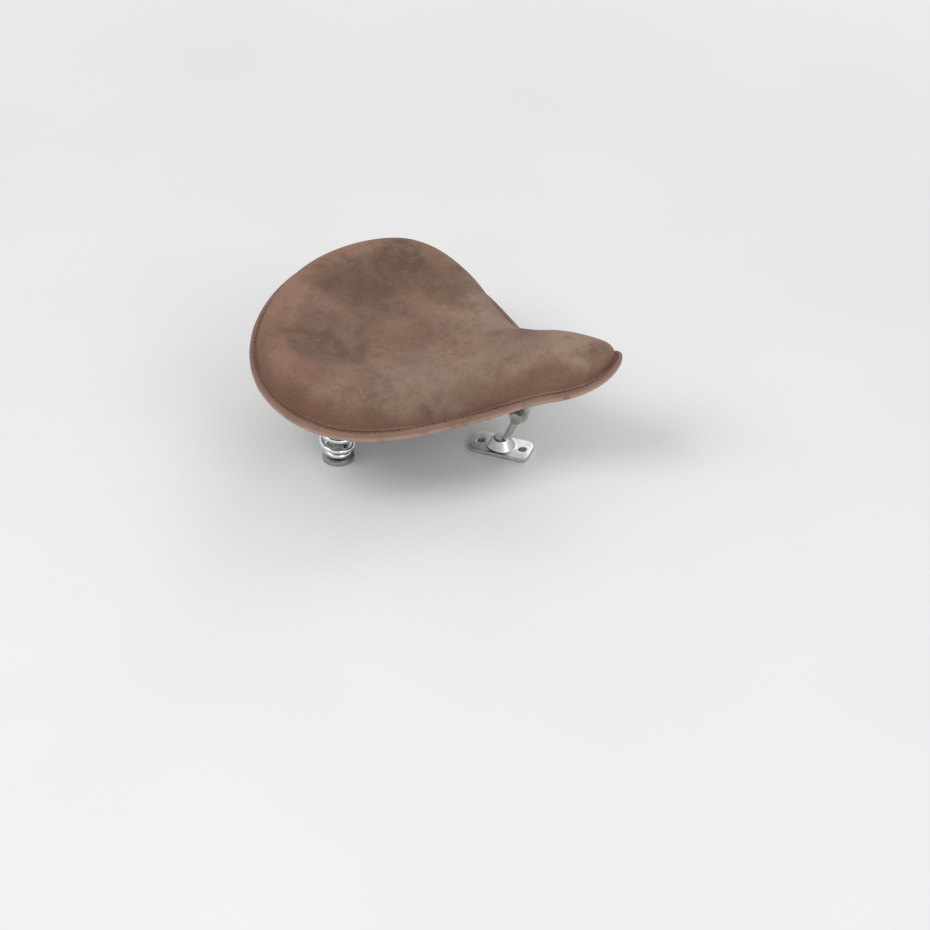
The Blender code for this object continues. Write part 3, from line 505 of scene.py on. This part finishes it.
def leather_relief(shade):
    """Worn hide: fine pebbles, pores, and creases that branch. Gives the normal, the pebbles and the
    creases."""
    pebbles = shade.cells(760, shade.strayed(140, reach=2 * MM)).ramp(0.0, 0.30)
    pores = shade.grain(2400, detail=2.0)
    rolling = shade.grain(60, detail=5.0, roughness=0.6, warp=0.6)
    creases = 1 - shade.cells(85, shade.strayed(60, reach=14 * MM)).ramp(0.0, 0.045)
    creases = creases * shade.grain(30, detail=3.0).ramp(0.50, 0.72)
    normal = shade.bump(rolling, depth=0.8 * MM, strength=0.35)
    normal = shade.bump(creases, depth=-0.25 * MM, strength=0.5, under=normal)
    normal = shade.bump(pebbles, depth=0.14 * MM, strength=0.55, under=normal)
    normal = shade.bump(pores, depth=0.06 * MM, strength=0.35, under=normal)
    return normal, pebbles, creases


def leather_tone(shade):
    """Waxed brown gone darker and redder in clouds, with small scuffs. Gives the colour, the mottle and the
    scuffs."""
    clouds = shade.grain(17, detail=4.0, roughness=0.62, warp=0.5)
    warmth = shade.grain(26, detail=5.0, roughness=0.6, warp=0.4)
    mottle = shade.grain(70, detail=6.0, roughness=0.68, warp=0.3)
    scuffs = shade.grain(260, detail=6.0, roughness=0.72)
    tone = shade.blend(clouds.ramp(0.28, 0.62), LEATHER_DARK, LEATHER_MID)
    tone = shade.stain(tone, LEATHER_RED, warmth.ramp(0.45, 0.70), strength=0.55)
    tone = shade.stain(tone, LEATHER_DARK, mottle.ramp(0.52, 0.30), strength=0.45)
    tone = shade.stain(tone, LEATHER_PALE, scuffs.ramp(0.52, 0.74), strength=0.48)
    return tone, mottle, scuffs


def cover_leather():
    """The cover's hide: a painted highlight on the bolster, worn in patches with painted shade in the rear
    dish, painted shade down its wall and at its foot.
    """
    shade = Shade("cover_leather")
    normal, pebbles, creases = leather_relief(shade)
    tone, mottle, scuffs = leather_tone(shade)
    strayed = shade.strayed(32, reach=66 * MM)
    # Painted highlight on the rounding of the rear bolster
    bolster_highlight = shade.attribute("bolster_highlight") * mottle.ramp(0.20, 0.55)
    tone = shade.stain(tone, BOLSTER_HIGHLIGHT_TONE, bolster_highlight, strength=0.68)
    broken = 0.35 + 1.15 * mottle.ramp(0.28, 0.72)
    # Worn patches, and painted shade where dark patches lie in the rear dish
    for patches, color in WEAR_AND_SHADE:
        for centre, radius, strength in patches:
            tone = shade.stain(tone, color, shade.spot(centre, radius, strayed) * broken, strength)
    # Painted shade down the steep wall, stronger the less it faces up
    tone = shade.stain(tone, WALL_SHADE_TONE, shade.attribute("wall_shade"), strength=0.66)
    tone = shade.stain(tone, LEATHER_DARK, scuffs.ramp(0.48, 0.28), strength=0.35)
    tone = shade.stain(tone, LEATHER_PALE, scuffs.ramp(0.56, 0.74), strength=0.30)
    tone = shade.stain(tone, LEATHER_PALE, creases, strength=0.12)
    tone = shade.stain(tone, LEATHER_DARK, 1 - pebbles, strength=0.30)
    # Painted shade along the foot, where the cover meets the band
    tone = shade.stain(tone, GROOVE_SHADE, shade.attribute("foot"), strength=0.18)
    shade.set(Base_Color=tone, Roughness=0.50 + 0.16 * mottle + 0.10 * scuffs, Normal=normal)
    return shade.set(Specular_IOR_Level=LEATHER_SHEEN)


def band_leather():
    """The band's hide: evener and paler than the cover's, rubbed and with a painted highlight on its edge,
    and with painted shade in its groove.
    """
    shade = Shade("band_leather")
    normal, pebbles, _ = leather_relief(shade)
    tone, mottle, _ = leather_tone(shade)
    tone = shade.blend(0.6, tone, LEATHER_BAND)
    # Rubbed wear and a painted highlight on the band's lower outer edge
    tone = shade.blend(shade.attribute("worn") * mottle.ramp(0.22, 0.52), tone, EDGE_WEAR_AND_HIGHLIGHT)
    tone = shade.stain(tone, LEATHER_DARK, 1 - pebbles, strength=0.25)
    # Painted shade in the groove beside the cover's foot
    tone = shade.stain(tone, GROOVE_SHADE, shade.attribute("groove_shade"), strength=0.20)
    shade.set(Base_Color=tone, Roughness=0.52 + 0.2 * mottle, Normal=normal)
    return shade.set(Specular_IOR_Level=LEATHER_SHEEN)


def thread():
    shade = Shade("waxed_thread")
    twist = shade.grain(2600, detail=1.0)
    tone = shade.blend(twist.ramp(0.35, 0.65), srgb(74, 52, 42), srgb(118, 88, 72))
    normal = shade.bump(twist, depth=0.1 * MM, strength=0.5)
    return shade.set(Base_Color=tone, Roughness=0.7, Normal=normal)


def bright_chrome():
    shade = Shade("bright_chrome")
    haze = shade.grain(90, detail=4.0)
    scratches = shade.grain(900, detail=2.0, roughness=0.5, warp=2.0)
    tone = shade.blend(haze.ramp(0.4, 0.8) * 0.25, (0.80, 0.81, 0.83), (0.62, 0.63, 0.64))
    roughness = 0.07 + 0.10 * haze.ramp(0.45, 0.85) + 0.05 * scratches
    normal = shade.bump(scratches, depth=0.02 * MM, strength=0.15)
    return shade.set(Base_Color=tone, Roughness=roughness, Metallic=1.0, Normal=normal)


def satin_plate():
    """Plating that lost its shine: the front post's finish."""
    shade = Shade("satin_plate")
    bloom = shade.grain(70, detail=5.0, roughness=0.6)
    fine = shade.grain(1300, detail=2.0)
    tone = shade.blend(bloom.ramp(0.35, 0.75), (0.62, 0.62, 0.61), (0.42, 0.42, 0.41))
    roughness = 0.24 + 0.22 * bloom
    normal = shade.bump(fine, depth=0.03 * MM, strength=0.25)
    return shade.set(Base_Color=tone, Roughness=roughness, Metallic=1.0, Normal=normal)


def black_powder_coat():
    shade = Shade("black_powder_coat")
    peel = shade.grain(420, detail=2.0)
    dust = shade.grain(35, detail=5.0, roughness=0.6)
    tone = shade.blend(dust.ramp(0.5, 0.9) * 0.5, srgb(22, 22, 23), srgb(52, 50, 48))
    roughness = 0.38 + 0.2 * dust
    normal = shade.bump(peel, depth=0.12 * MM, strength=0.4)
    return shade.set(Base_Color=tone, Roughness=roughness, Normal=normal)


def zinc_plate():
    shade = Shade("zinc_plate")
    bloom = shade.grain(60, detail=5.0, roughness=0.6)
    fine = shade.grain(1500, detail=2.0)
    tone = shade.blend(bloom.ramp(0.35, 0.75), srgb(176, 177, 175), srgb(140, 140, 136))
    roughness = 0.26 + 0.2 * bloom
    normal = shade.bump(fine, depth=0.03 * MM, strength=0.3)
    return shade.set(Base_Color=tone, Roughness=roughness, Metallic=1.0, Normal=normal)


def bush_bronze():
    shade = Shade("bush_bronze")
    cast = shade.grain(300, detail=4.0)
    tone = shade.blend(cast.ramp(0.35, 0.7), srgb(178, 132, 70), srgb(132, 92, 46))
    return shade.set(Base_Color=tone, Roughness=0.35 + 0.2 * cast, Metallic=1.0)


def dress(mesh, material):
    """Gives a mesh its one material and smooth shading."""
    mesh.materials.clear()
    mesh.materials.append(material)
    mesh.shade_smooth()


def new_object(name, mesh, material):
    obj = bpy.data.objects.new(name, mesh)
    bpy.context.scene.collection.objects.link(obj)
    dress(mesh, material)
    return obj


def evaluated_mesh(obj):
    """A new mesh of what an object's modifiers or its bevel make of it."""
    bpy.context.view_layer.update()
    graph = bpy.context.evaluated_depsgraph_get()
    return bpy.data.meshes.new_from_object(obj.evaluated_get(graph))


def settle(obj):
    """Makes an object's modifiers part of its mesh."""
    mesh = evaluated_mesh(obj)
    obj.modifiers.clear()
    obj.data = mesh


def ring_mesh(name, rings, closed_section):
    """Quads between rings of points. Each ring runs once round the rim. A closed section joins the last to
    the first."""
    count, around = len(rings), len(rings[0])
    verts = np.concatenate(rings)
    faces = []
    for ring in range(count if closed_section else count - 1):
        here, there = ring * around, (ring + 1) % count * around
        for k in range(around):
            after = (k + 1) % around
            faces.append((here + k, there + k, there + after, here + after))
    mesh = bpy.data.meshes.new(name)
    mesh.from_pydata(verts.tolist(), [], faces)
    return mesh


def outward(mesh):
    """Merges doubles, closes what meets and turns the faces outwards."""
    edit = bmesh.new()
    edit.from_mesh(mesh)
    bmesh.ops.remove_doubles(edit, verts=edit.verts[:], dist=MERGE_DISTANCE)
    bmesh.ops.dissolve_degenerate(edit, edges=edit.edges[:], dist=SLIVER_LENGTH)
    bmesh.ops.recalc_face_normals(edit, faces=edit.faces[:])
    edit.to_mesh(mesh)
    edit.free()
    return mesh


def cover_blank():
    """The padding's form before it swells: crowned top and flat seat, closed, slightly small."""
    points, normals = rim_stations(COVER_STEPS)
    rim = points + normals * COVER_INSET
    turn = np.arange(len(rim)) * 2 / len(rim)
    share = SPINE_BY_LENGTH * (rim[:, 0] - REAR_X) / SEAT_LENGTH + SPINE_BY_TURN * np.minimum(turn, 2 - turn)
    spine_x = SPINE_REAR_X + (SPINE_FRONT_X - SPINE_REAR_X) * share
    spine = np.stack([spine_x, np.zeros(len(rim))], axis=1)
    even = np.linspace(0, TOP_EVEN_SHARE, TOP_EVEN_RINGS)
    crowded = np.linspace(1, 0, TOP_CROWDED_RINGS)[1:-1] ** TOP_CROWDING
    rings = []
    for level in np.concatenate([even, 1 - (1 - TOP_EVEN_SHARE) * crowded]):
        plan = spine + (rim - spine) * level
        rings.append(np.column_stack([plan, cover_height(plan[:, 0], plan[:, 1])]))
    wall_top = rings[-1]
    foot = np.column_stack([rim, rim_z(rim[:, 0]) + COVER_FOOT])
    for level in FOOT_LEVELS:
        ring = foot + (wall_top - foot) * level
        ring[:, :2] -= normals * FOOT_FLARE * (1 - level) ** FOOT_FLARE_POWER
        rings.append(ring)
    for level in UNDER_LEVELS:
        plan = spine + (rim - spine) * level
        rings.append(np.column_stack([plan, rim_z(plan[:, 0]) + COVER_FOOT]))
    return outward(ring_mesh("padded_cover", rings, False))


def swell(obj):
    """Inflates the padding with a short cloth run, held at its foot. A point only moves outwards, up to a
    cap."""
    mesh = obj.data
    rest = np.array([v.co for v in mesh.vertices])
    above = rest[:, 2] - rim_z(rest[:, 0]) - COVER_FOOT
    held = obj.vertex_groups.new(name="held")
    for index in np.nonzero(above < HELD_HEIGHT)[0]:
        held.add([int(index)], 1.0, "REPLACE")
    cloth = obj.modifiers.new("swell", "CLOTH")
    settings = cloth.settings
    settings.quality = SWELL_QUALITY
    settings.mass = SWELL_MASS
    settings.tension_stiffness = settings.compression_stiffness = SWELL_STIFFNESS
    settings.shear_stiffness = SWELL_SHEAR
    settings.bending_stiffness = SWELL_BENDING
    settings.use_pressure = True
    settings.uniform_pressure_force = SWELL_PRESSURE
    settings.vertex_group_mass = "held"
    settings.effector_weights.gravity = 0
    scene = bpy.context.scene
    for step in range(1, SWELL_FRAMES + 1):
        scene.frame_set(step)
    graph = bpy.context.evaluated_depsgraph_get()
    moved = np.array([v.co for v in obj.evaluated_get(graph).data.vertices])
    obj.modifiers.clear()
    scene.frame_set(1)
    outwards = np.array([v.normal for v in mesh.vertices])
    grown = np.clip(((moved - rest) * outwards).sum(axis=1), 0, SWELL_CAP)
    for vert, place in zip(mesh.vertices, rest + outwards * grown[:, None]):
        vert.co = place


def mark(mesh, name, values):
    """Keeps a value for each point of a mesh, which its material reads by name."""
    mesh.attributes.new(name, "FLOAT", "POINT").data.foreach_set("value", values)


def mark_cover(mesh):
    """Marks the painted shade on the cover's steep wall, the painted highlight on the bolster round its
    rear, and the painted shade along its foot.
    """
    place = np.array([v.co for v in mesh.vertices])
    upwards = np.array([v.normal.z for v in mesh.vertices])
    inside = edge_distance(place[:, 0], place[:, 1]) - COVER_INSET
    above = place[:, 2] - rim_z(place[:, 0]) - COVER_FOOT
    behind = smoothstep((BOLSTER_FRONT_X - place[:, 0]) / BOLSTER_FADE)
    rounded = smoothstep(inside / BOLSTER_INNER) * smoothstep((BOLSTER_OUTER - inside) / BOLSTER_INNER)
    # Painted shade where the surface faces less upwards
    mark(mesh, "wall_shade", smoothstep((WALL_SHADE_FACING - upwards) / WALL_SHADE_FADE))
    # Painted highlight on the rear bolster's rounding
    mark(mesh, "bolster_highlight", behind * rounded)
    # Painted shade just above the cover's foot
    mark(mesh, "foot", smoothstep(1 - above / FOOT_SHADE_HEIGHT))


def padded_cover():
    """The stuffed cover: a blank that swells, made a little uneven and then smoothed."""
    obj = new_object("padded_cover", cover_blank(), cover_leather())
    swell(obj)
    for vert in obj.data.vertices:
        above = vert.co.z - float(rim_z(vert.co.x)) - COVER_FOOT
        loose = min(max(above / HAND_WORK_FADE, 0), 1)
        vert.co += vert.normal * noise.noise(vert.co * HAND_WORK_SCALE) * HAND_WORK * loose
    smooth = obj.modifiers.new("smooth", "SUBSURF")
    smooth.levels = smooth.render_levels = 1
    settle(obj)
    mark_cover(obj.data)
    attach(obj, "seat")
    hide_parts("leather_cover", "foam_pad")


def band_section():
    """The band's section as (inset, height): the outer roll lies towards inset 0."""
    roll, hem = BAND_EDGE_ROUND, BAND_HEM_ROUND
    top, under = BAND_THICKNESS, BAND_UNDER_THICKNESS
    outer = [(roll - roll * math.sin(a), top - roll + roll * math.cos(a)) for a in BAND_EDGE_ANGLES]
    lower = [(inset, top - height) for inset, height in reversed(outer)]
    outer.append((0, top / 2))
    return [
        (BAND_TOP_WIDTH, BAND_SLOT_TOP),
        (BAND_TOP_WIDTH, top - hem),
        (BAND_TOP_WIDTH - hem, top),
        (COVER_INSET - GROOVE_MARGIN, top),
        *outer,
        *lower,
        (BAND_UNDER_WIDTH - hem, 0),
        (BAND_UNDER_WIDTH, hem),
        (BAND_UNDER_WIDTH, under),
        (BAND_SLOT_END, under),
        (BAND_SLOT_END, BAND_SLOT_TOP),
    ]


def band_wear_and_highlight(inset, height):
    """Rubbing of the band, with a painted highlight: strong on its lower outer edge, less upwards, none on
    the legs.
    """
    if inset > BAND_EDGE_ROUND:
        return 0.0
    return float(1 - smoothstep((height / BAND_THICKNESS - BAND_WORN_HIGHLIT_SHARE) / BAND_WORN_HIGHLIT_FADE))


def band_groove_shade(inset, height):
    """Painted shade: a dark line on top of the band where the cover's foot meets it."""
    on_top = height > BAND_THICKNESS / 2
    return float(on_top * smoothstep((inset - STITCH_INSET) / (COVER_INSET - STITCH_INSET)))


def rolled_band():
    """The leather edge: one section carried round the rim, a little wavy as hand work is."""
    points, normals = rim_stations(BAND_STEPS)
    rings = []
    section = band_section()
    for inset, height in section:
        plan = points + normals * inset
        rings.append(np.column_stack([plan, rim_z(plan[:, 0]) + height]))
    mesh = ring_mesh("rolled_band", rings, True)
    # The band's rubbed edge with its painted highlight, and the painted shade in its groove
    for name, amount in (("worn", band_wear_and_highlight), ("groove_shade", band_groove_shade)):
        mark(mesh, name, np.repeat([amount(*corner) for corner in section], len(points)))
    obj = new_object("rolled_band", outward(mesh), band_leather())
    for vert in obj.data.vertices:
        vert.co += vert.normal * noise.noise(vert.co * BAND_WAVER_SCALE) * BAND_WAVER
    obj.data.set_sharp_from_angle(angle=KEPT_CORNER)
    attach(obj, "seat")
    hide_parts("edge_band")


class NodeTree:
    """A Geometry Nodes tree with geometry inputs, size inputs and one geometry output."""

    def __init__(self, name, shapes, sizes):
        self.tree = bpy.data.node_groups.new(name, "GeometryNodeTree")
        for shape in shapes:
            self.tree.interface.new_socket(shape, in_out="INPUT", socket_type="NodeSocketGeometry")
        for size in sizes:
            self.tree.interface.new_socket(size, in_out="INPUT", socket_type="NodeSocketFloat")
        self.tree.interface.new_socket("Made", in_out="OUTPUT", socket_type="NodeSocketGeometry")
        self.given = self.tree.nodes.new("NodeGroupInput").outputs

    def step(self, kind, settings=None, inputs=None):
        """Adds a node, sets it up, fills or links its inputs and gives its first output."""
        added = self.tree.nodes.new(kind)
        for key, value in (settings or {}).items():
            setattr(added, key, value)
        for key, value in (inputs or {}).items():
            if isinstance(value, bpy.types.NodeSocket):
                self.tree.links.new(value, added.inputs[key])
            else:
                added.inputs[key].default_value = value
        return added.outputs[0]

    def ends_in(self, made):
        self.tree.links.new(made, self.tree.nodes.new("NodeGroupOutput").inputs[0])
        return self.tree

    def ends_in_pieces(self, instances, material):
        """Ends the tree with instances made real, shaded smooth and given their material."""
        real = self.step("GeometryNodeRealizeInstances", {}, {"Geometry": instances})
        smooth = self.step("GeometryNodeSetShadeSmooth", {}, {"Geometry": real})
        return self.ends_in(
            self.step("GeometryNodeSetMaterial", {}, {"Geometry": smooth, "Material": material})
        )


def set_inputs(modifier, **values):
    """Sets a Geometry Nodes modifier's inputs, which Blender keeps under their identifiers."""
    for item in modifier.node_group.interface.items_tree:
        if item.in_out == "INPUT" and item.name in values:
            modifier[item.identifier] = values[item.name]


def sewing_tree(material):
    """Lays stitches of a set length at an even pitch along a seam line."""
    tree = NodeTree("sewn_row", ("Seam",), ("Pitch", "Length", "Radius"))
    line = tree.step("GeometryNodeMeshToCurve", {}, {"Mesh": tree.given["Seam"]})
    spacing = {"Curve": line, "Length": tree.given["Pitch"]}
    even = tree.step("GeometryNodeResampleCurve", {"mode": "LENGTH"}, spacing)
    along = tree.step("GeometryNodeInputTangent")
    turn = tree.step("FunctionNodeAlignRotationToVector", {"axis": "X"}, {"Vector": along})
    half = tree.step("ShaderNodeMath", {"operation": "MULTIPLY"}, {0: tree.given["Length"], 1: 0.5})
    radius = tree.given["Radius"]
    size = tree.step("ShaderNodeCombineXYZ", {}, {"X": half, "Y": radius, "Z": radius})
    roundness = {"Segments": STITCH_SEGMENTS, "Rings": STITCH_RINGS, "Radius": 1.0}
    bead = tree.step("GeometryNodeMeshUVSphere", {}, roundness)
    stitches = tree.step(
        "GeometryNodeInstanceOnPoints",
        {},
        {"Points": even, "Instance": bead, "Rotation": turn, "Scale": size},
    )
    return tree.ends_in_pieces(stitches, material)


def sewn_row():
    """The row of stitches that shows on top of the band, beside the cover."""
    points, normals = rim_stations(BAND_STEPS)
    plan = points + normals * STITCH_INSET
    line = np.column_stack([plan, rim_z(plan[:, 0]) + BAND_THICKNESS])
    count = len(line)
    mesh = bpy.data.meshes.new("sewn_row")
    mesh.from_pydata(line.tolist(), [(k, (k + 1) % count) for k in range(count)], [])
    material = thread()
    obj = new_object("sewn_row", mesh, material)
    nodes = obj.modifiers.new("sewing", "NODES")
    nodes.node_group = sewing_tree(material)
    set_inputs(nodes, Pitch=STITCH_PITCH, Length=STITCH_LENGTH, Radius=STITCH_RADIUS)
    settle(obj)
    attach(obj, "seat")


def spring_line(side, base, height):
    """Points along a spring's wire, from its lower end up: drawn in and closer together at both ends."""
    count = round(SPRING_TURNS * SPRING_POINTS_PER_TURN)
    points = []
    for n in range(count + 1):
        share = n / count
        turns = share * SPRING_TURNS
        widened = float(smoothstep(min(turns, SPRING_TURNS - turns) / SPRING_TAPER_TURNS))
        radius = SPRING_END_RADIUS + (SPRING_MID_RADIUS - SPRING_END_RADIUS) * widened
        climb = share - SPRING_END_PITCH_CUT * math.sin(FULL_TURN * share) / FULL_TURN
        angle = FULL_TURN * turns
        x = SPRING_X + radius * math.cos(angle)
        y = (SPRING_Y + radius * math.sin(angle)) * side
        points.append((x, y, base + SPRING_WIRE / 2 + height * climb))
    return points


def barrel_spring(label, side, chrome):
    """One chrome spring as a smooth round wire."""
    low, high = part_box("spring_" + label)
    base, height = low[2], high[2] - low[2] - SPRING_WIRE
    line = spring_line(side, base, height)
    curve = bpy.data.curves.new("barrel_spring_" + label, "CURVE")
    curve.dimensions = "3D"
    curve.bevel_depth = SPRING_WIRE / 2
    curve.bevel_resolution = SPRING_WIRE_ROUNDNESS
    curve.use_fill_caps = True
    spline = curve.splines.new("POLY")
    spline.points.add(len(line) - 1)
    for point, place in zip(spline.points, line):
        point.co = (*place, 1)
    drawn = bpy.data.objects.new("barrel_spring_drawn", curve)
    bpy.context.scene.collection.objects.link(drawn)
    mesh = evaluated_mesh(drawn)
    bpy.data.objects.remove(drawn)
    obj = new_object("barrel_spring_" + label, outward(mesh), chrome)
    obj.data.set_sharp_from_angle(angle=KEPT_CORNER)
    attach(obj, "frame_side")
    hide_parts("spring_" + label)
    travel = SPRING_LEVER * math.sin(SPRING_SWING)
    keep = 1 - travel / (high[2] - low[2])
    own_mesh(obj)


def shading_tree():
    """Shades a piece smooth and keeps the edges sharp that bend by more than an angle."""
    tree = NodeTree("kept_edges", ("Piece",), ("Sharp",))
    smooth = tree.step("GeometryNodeSetShadeSmooth", {}, {"Geometry": tree.given["Piece"]})
    bend = tree.step("GeometryNodeInputMeshEdgeAngle")
    limits = {0: bend, 1: tree.given["Sharp"]}
    flat = tree.step("FunctionNodeCompare", {"operation": "LESS_THAN"}, limits)
    shaded = {"Geometry": smooth, "Shade Smooth": flat}
    return tree.ends_in(tree.step("GeometryNodeSetShadeSmooth", {"domain": "EDGE"}, shaded))


def finish_steel(finishes):
    """Gives the CAD pieces that stay their plating or paint, with broken edges."""
    shading = shading_tree()
    for part in frame["record"]["subparts"]:
        finish = finishes.get(part["material_slot"])
        if finish is None:
            continue
        obj = frame["nodes"][part["node"]]
        obj.data.materials.clear()
        obj.data.materials.append(finish)
        obj.modifiers.new("joined", "WELD").merge_threshold = CAD_MERGE
        flats = obj.modifiers.new("whole_flats", "DECIMATE")
        flats.decimate_type = "DISSOLVE"
        flats.angle_limit = FLAT_BEND
        bevel = obj.modifiers.new("broken_edges", "BEVEL")
        bevel.width = EDGE_BREAK
        bevel.segments = EDGE_SEGMENTS
        bevel.limit_method = "ANGLE"
        bevel.angle_limit = SHARP_BEND
        nodes = obj.modifiers.new("kept_edges", "NODES")
        nodes.node_group = shading
        set_inputs(nodes, Sharp=SHARP_BEND)


def forged(node, body, finish):
    """A forging made from a CAD node: its corners rounded and its joints filled with fillets."""
    mesh = outward(frame["nodes"][node].data.copy())
    obj = new_object("forged_" + node, mesh, finish)
    skin = obj.modifiers.new("skin", "REMESH")
    skin.mode = "VOXEL"
    skin.voxel_size = FORGED_VOXEL
    eased = obj.modifiers.new("eased", "SMOOTH")
    eased.factor = FORGED_EASING_FACTOR
    eased.iterations = FORGED_EASING
    settle(obj)
    dress(obj.data, finish)
    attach(obj, body)
    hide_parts(node)


def rivet_tree(material):
    """Sets a domed rivet head on each point, square to the point's own facing."""
    tree = NodeTree("rivet_heads", ("Points",), ("Radius", "Height"))
    named = {"Name": "facing"}
    facing = tree.step("GeometryNodeInputNamedAttribute", {"data_type": "FLOAT_VECTOR"}, named)
    turn = tree.step("FunctionNodeAlignRotationToVector", {"axis": "Z"}, {"Vector": facing})
    radius, height = tree.given["Radius"], tree.given["Height"]
    size = tree.step("ShaderNodeCombineXYZ", {}, {"X": radius, "Y": radius, "Z": height})
    roundness = {"Segments": RIVET_SEGMENTS, "Rings": RIVET_RINGS, "Radius": 1.0}
    dome = tree.step("GeometryNodeMeshUVSphere", {}, roundness)
    heads = tree.step(
        "GeometryNodeInstanceOnPoints",
        {},
        {"Points": tree.given["Points"], "Instance": dome, "Rotation": turn, "Scale": size},
    )
    return tree.ends_in_pieces(heads, material)


def hem_rivets(zinc):
    """The domed heads under the band, one for each hem rivet of the model."""
    nodes = [part["node"] for part in frame["record"]["subparts"]]
    names = [node for node in nodes if node.startswith("hem_rivet_")]
    places, facings = [], []
    for name in names:
        low, high = (Vector(c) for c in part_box(name))
        middle = (low + high) / 2
        rise = float(rim_z(middle.x + SLOPE_STEP) - rim_z(middle.x - SLOPE_STEP)) / (2 * SLOPE_STEP)
        facing = Vector((rise, 0, -1)).normalized()
        places.append(Vector((middle.x, middle.y, float(rim_z(middle.x)))) + facing * RIVET_SEAT)
        facings.append(facing)
    mesh = bpy.data.meshes.new("hem_rivets")
    mesh.from_pydata(places, [], [])
    kept = mesh.attributes.new("facing", "FLOAT_VECTOR", "POINT")
    kept.data.foreach_set("vector", np.array(facings).ravel())
    obj = new_object("hem_rivets", mesh, zinc)
    heads = obj.modifiers.new("rivets", "NODES")
    heads.node_group = rivet_tree(zinc)
    set_inputs(heads, Radius=RIVET_RADIUS, Height=RIVET_HEIGHT)
    settle(obj)
    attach(obj, "seat")
    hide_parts(*names)


def paper_floor():
    """A pale paper floor that fades out to the studio's own white, and shows only from above."""
    shade = Shade("floor_paper")
    fibre = shade.grain(3, detail=2.0)
    tone = shade.blend(fibre.ramp(0.3, 0.7), (0.80, 0.80, 0.80), (0.82, 0.82, 0.82))
    shade.set(Base_Color=tone, Roughness=0.9, Specular_IOR_Level=0.2)
    away = shade.node("ShaderNodeVectorMath", {"operation": "LENGTH"}, {0: shade.place}, "Value")
    behind = shade.node("ShaderNodeNewGeometry", out="Backfacing")
    gone = behind.math("MAXIMUM", behind, away.ramp(FLOOR_KEPT, FLOOR_REACH))
    face = Wire(shade, shade.surface.outputs[0])
    clear = shade.node("ShaderNodeBsdfTransparent")
    sheet = shade.node("ShaderNodeMixShader", {}, {0: gone, 1: face, 2: clear})
    shade.feed(shade.tree.nodes["Material Output"].inputs["Surface"], sheet)
    edit = bmesh.new()
    bmesh.ops.create_circle(edit, cap_ends=True, segments=FLOOR_SEGMENTS, radius=FLOOR_REACH)
    mesh = bpy.data.meshes.new("floor")
    edit.to_mesh(mesh)
    edit.free()
    floor = new_object("floor", mesh, shade.material)
    floor.location.z = FLOOR_DROP


def studio_world():
    """Soft light from all round. What the camera and the metal see of it is a plain pale backdrop."""
    world = bpy.data.worlds.new("studio")
    world.use_nodes = True
    bpy.context.scene.world = world
    tree = world.node_tree
    lit = tree.nodes["Background"]
    lit.inputs["Strength"].default_value = WORLD_LIGHT
    seen = tree.nodes.new("ShaderNodeBackground")
    seen.inputs["Strength"].default_value = WORLD_SEEN
    for backdrop in (lit, seen):
        backdrop.inputs["Color"].default_value = (1, 1, 1, 1)
    path = tree.nodes.new("ShaderNodeLightPath")
    share = path.outputs["Is Camera Ray"]
    for kind in ("Is Glossy Ray", "Is Transmission Ray"):
        either = tree.nodes.new("ShaderNodeMath")
        either.operation = "MAXIMUM"
        tree.links.new(share, either.inputs[0])
        tree.links.new(path.outputs[kind], either.inputs[1])
        share = either.outputs[0]
    choice = tree.nodes.new("ShaderNodeMixShader")
    tree.links.new(share, choice.inputs[0])
    tree.links.new(lit.outputs[0], choice.inputs[1])
    tree.links.new(seen.outputs[0], choice.inputs[2])
    tree.links.new(choice.outputs[0], tree.nodes["World Output"].inputs["Surface"])


def studio_lamps():
    for name, place, size, power in LAMPS:
        data = bpy.data.lights.new(name, "AREA")
        data.size = size
        data.energy = power
        lamp = bpy.data.objects.new(name, data)
        bpy.context.scene.collection.objects.link(lamp)
        lamp.location = place
        lamp.rotation_euler = (LAMP_AIM - Vector(place)).to_track_quat("-Z", "Y").to_euler()


def photo_camera():
    """The camera where the photograph was taken from."""
    scene = bpy.context.scene
    data = bpy.data.cameras.new("camera")
    data.lens = CAMERA_LENS
    data.sensor_width = CAMERA_SENSOR
    camera = bpy.data.objects.new("camera", data)
    scene.collection.objects.link(camera)
    look = (CAMERA_AIM - CAMERA_PLACE).to_track_quat("-Z", "Y").to_matrix().to_4x4()
    camera.matrix_world = Matrix.Translation(CAMERA_PLACE) @ look @ Matrix.Rotation(CAMERA_ROLL, 4, "Z")
    scene.camera = camera
    scene.view_settings.view_transform = "Standard"


def main():
    chrome, zinc, plate = bright_chrome(), zinc_plate(), satin_plate()
    padded_cover()
    rolled_band()
    sewn_row()
    hem_rivets(zinc)
    for label, side in (("left", 1), ("right", -1)):
        barrel_spring(label, side, chrome)
    forged("front_post", "frame_side", plate)
    finish_steel({"black_steel": black_powder_coat(), "zinc": zinc, "bronze": bush_bronze()})
    paper_floor()
    studio_world()
    studio_lamps()
    photo_camera()


main()
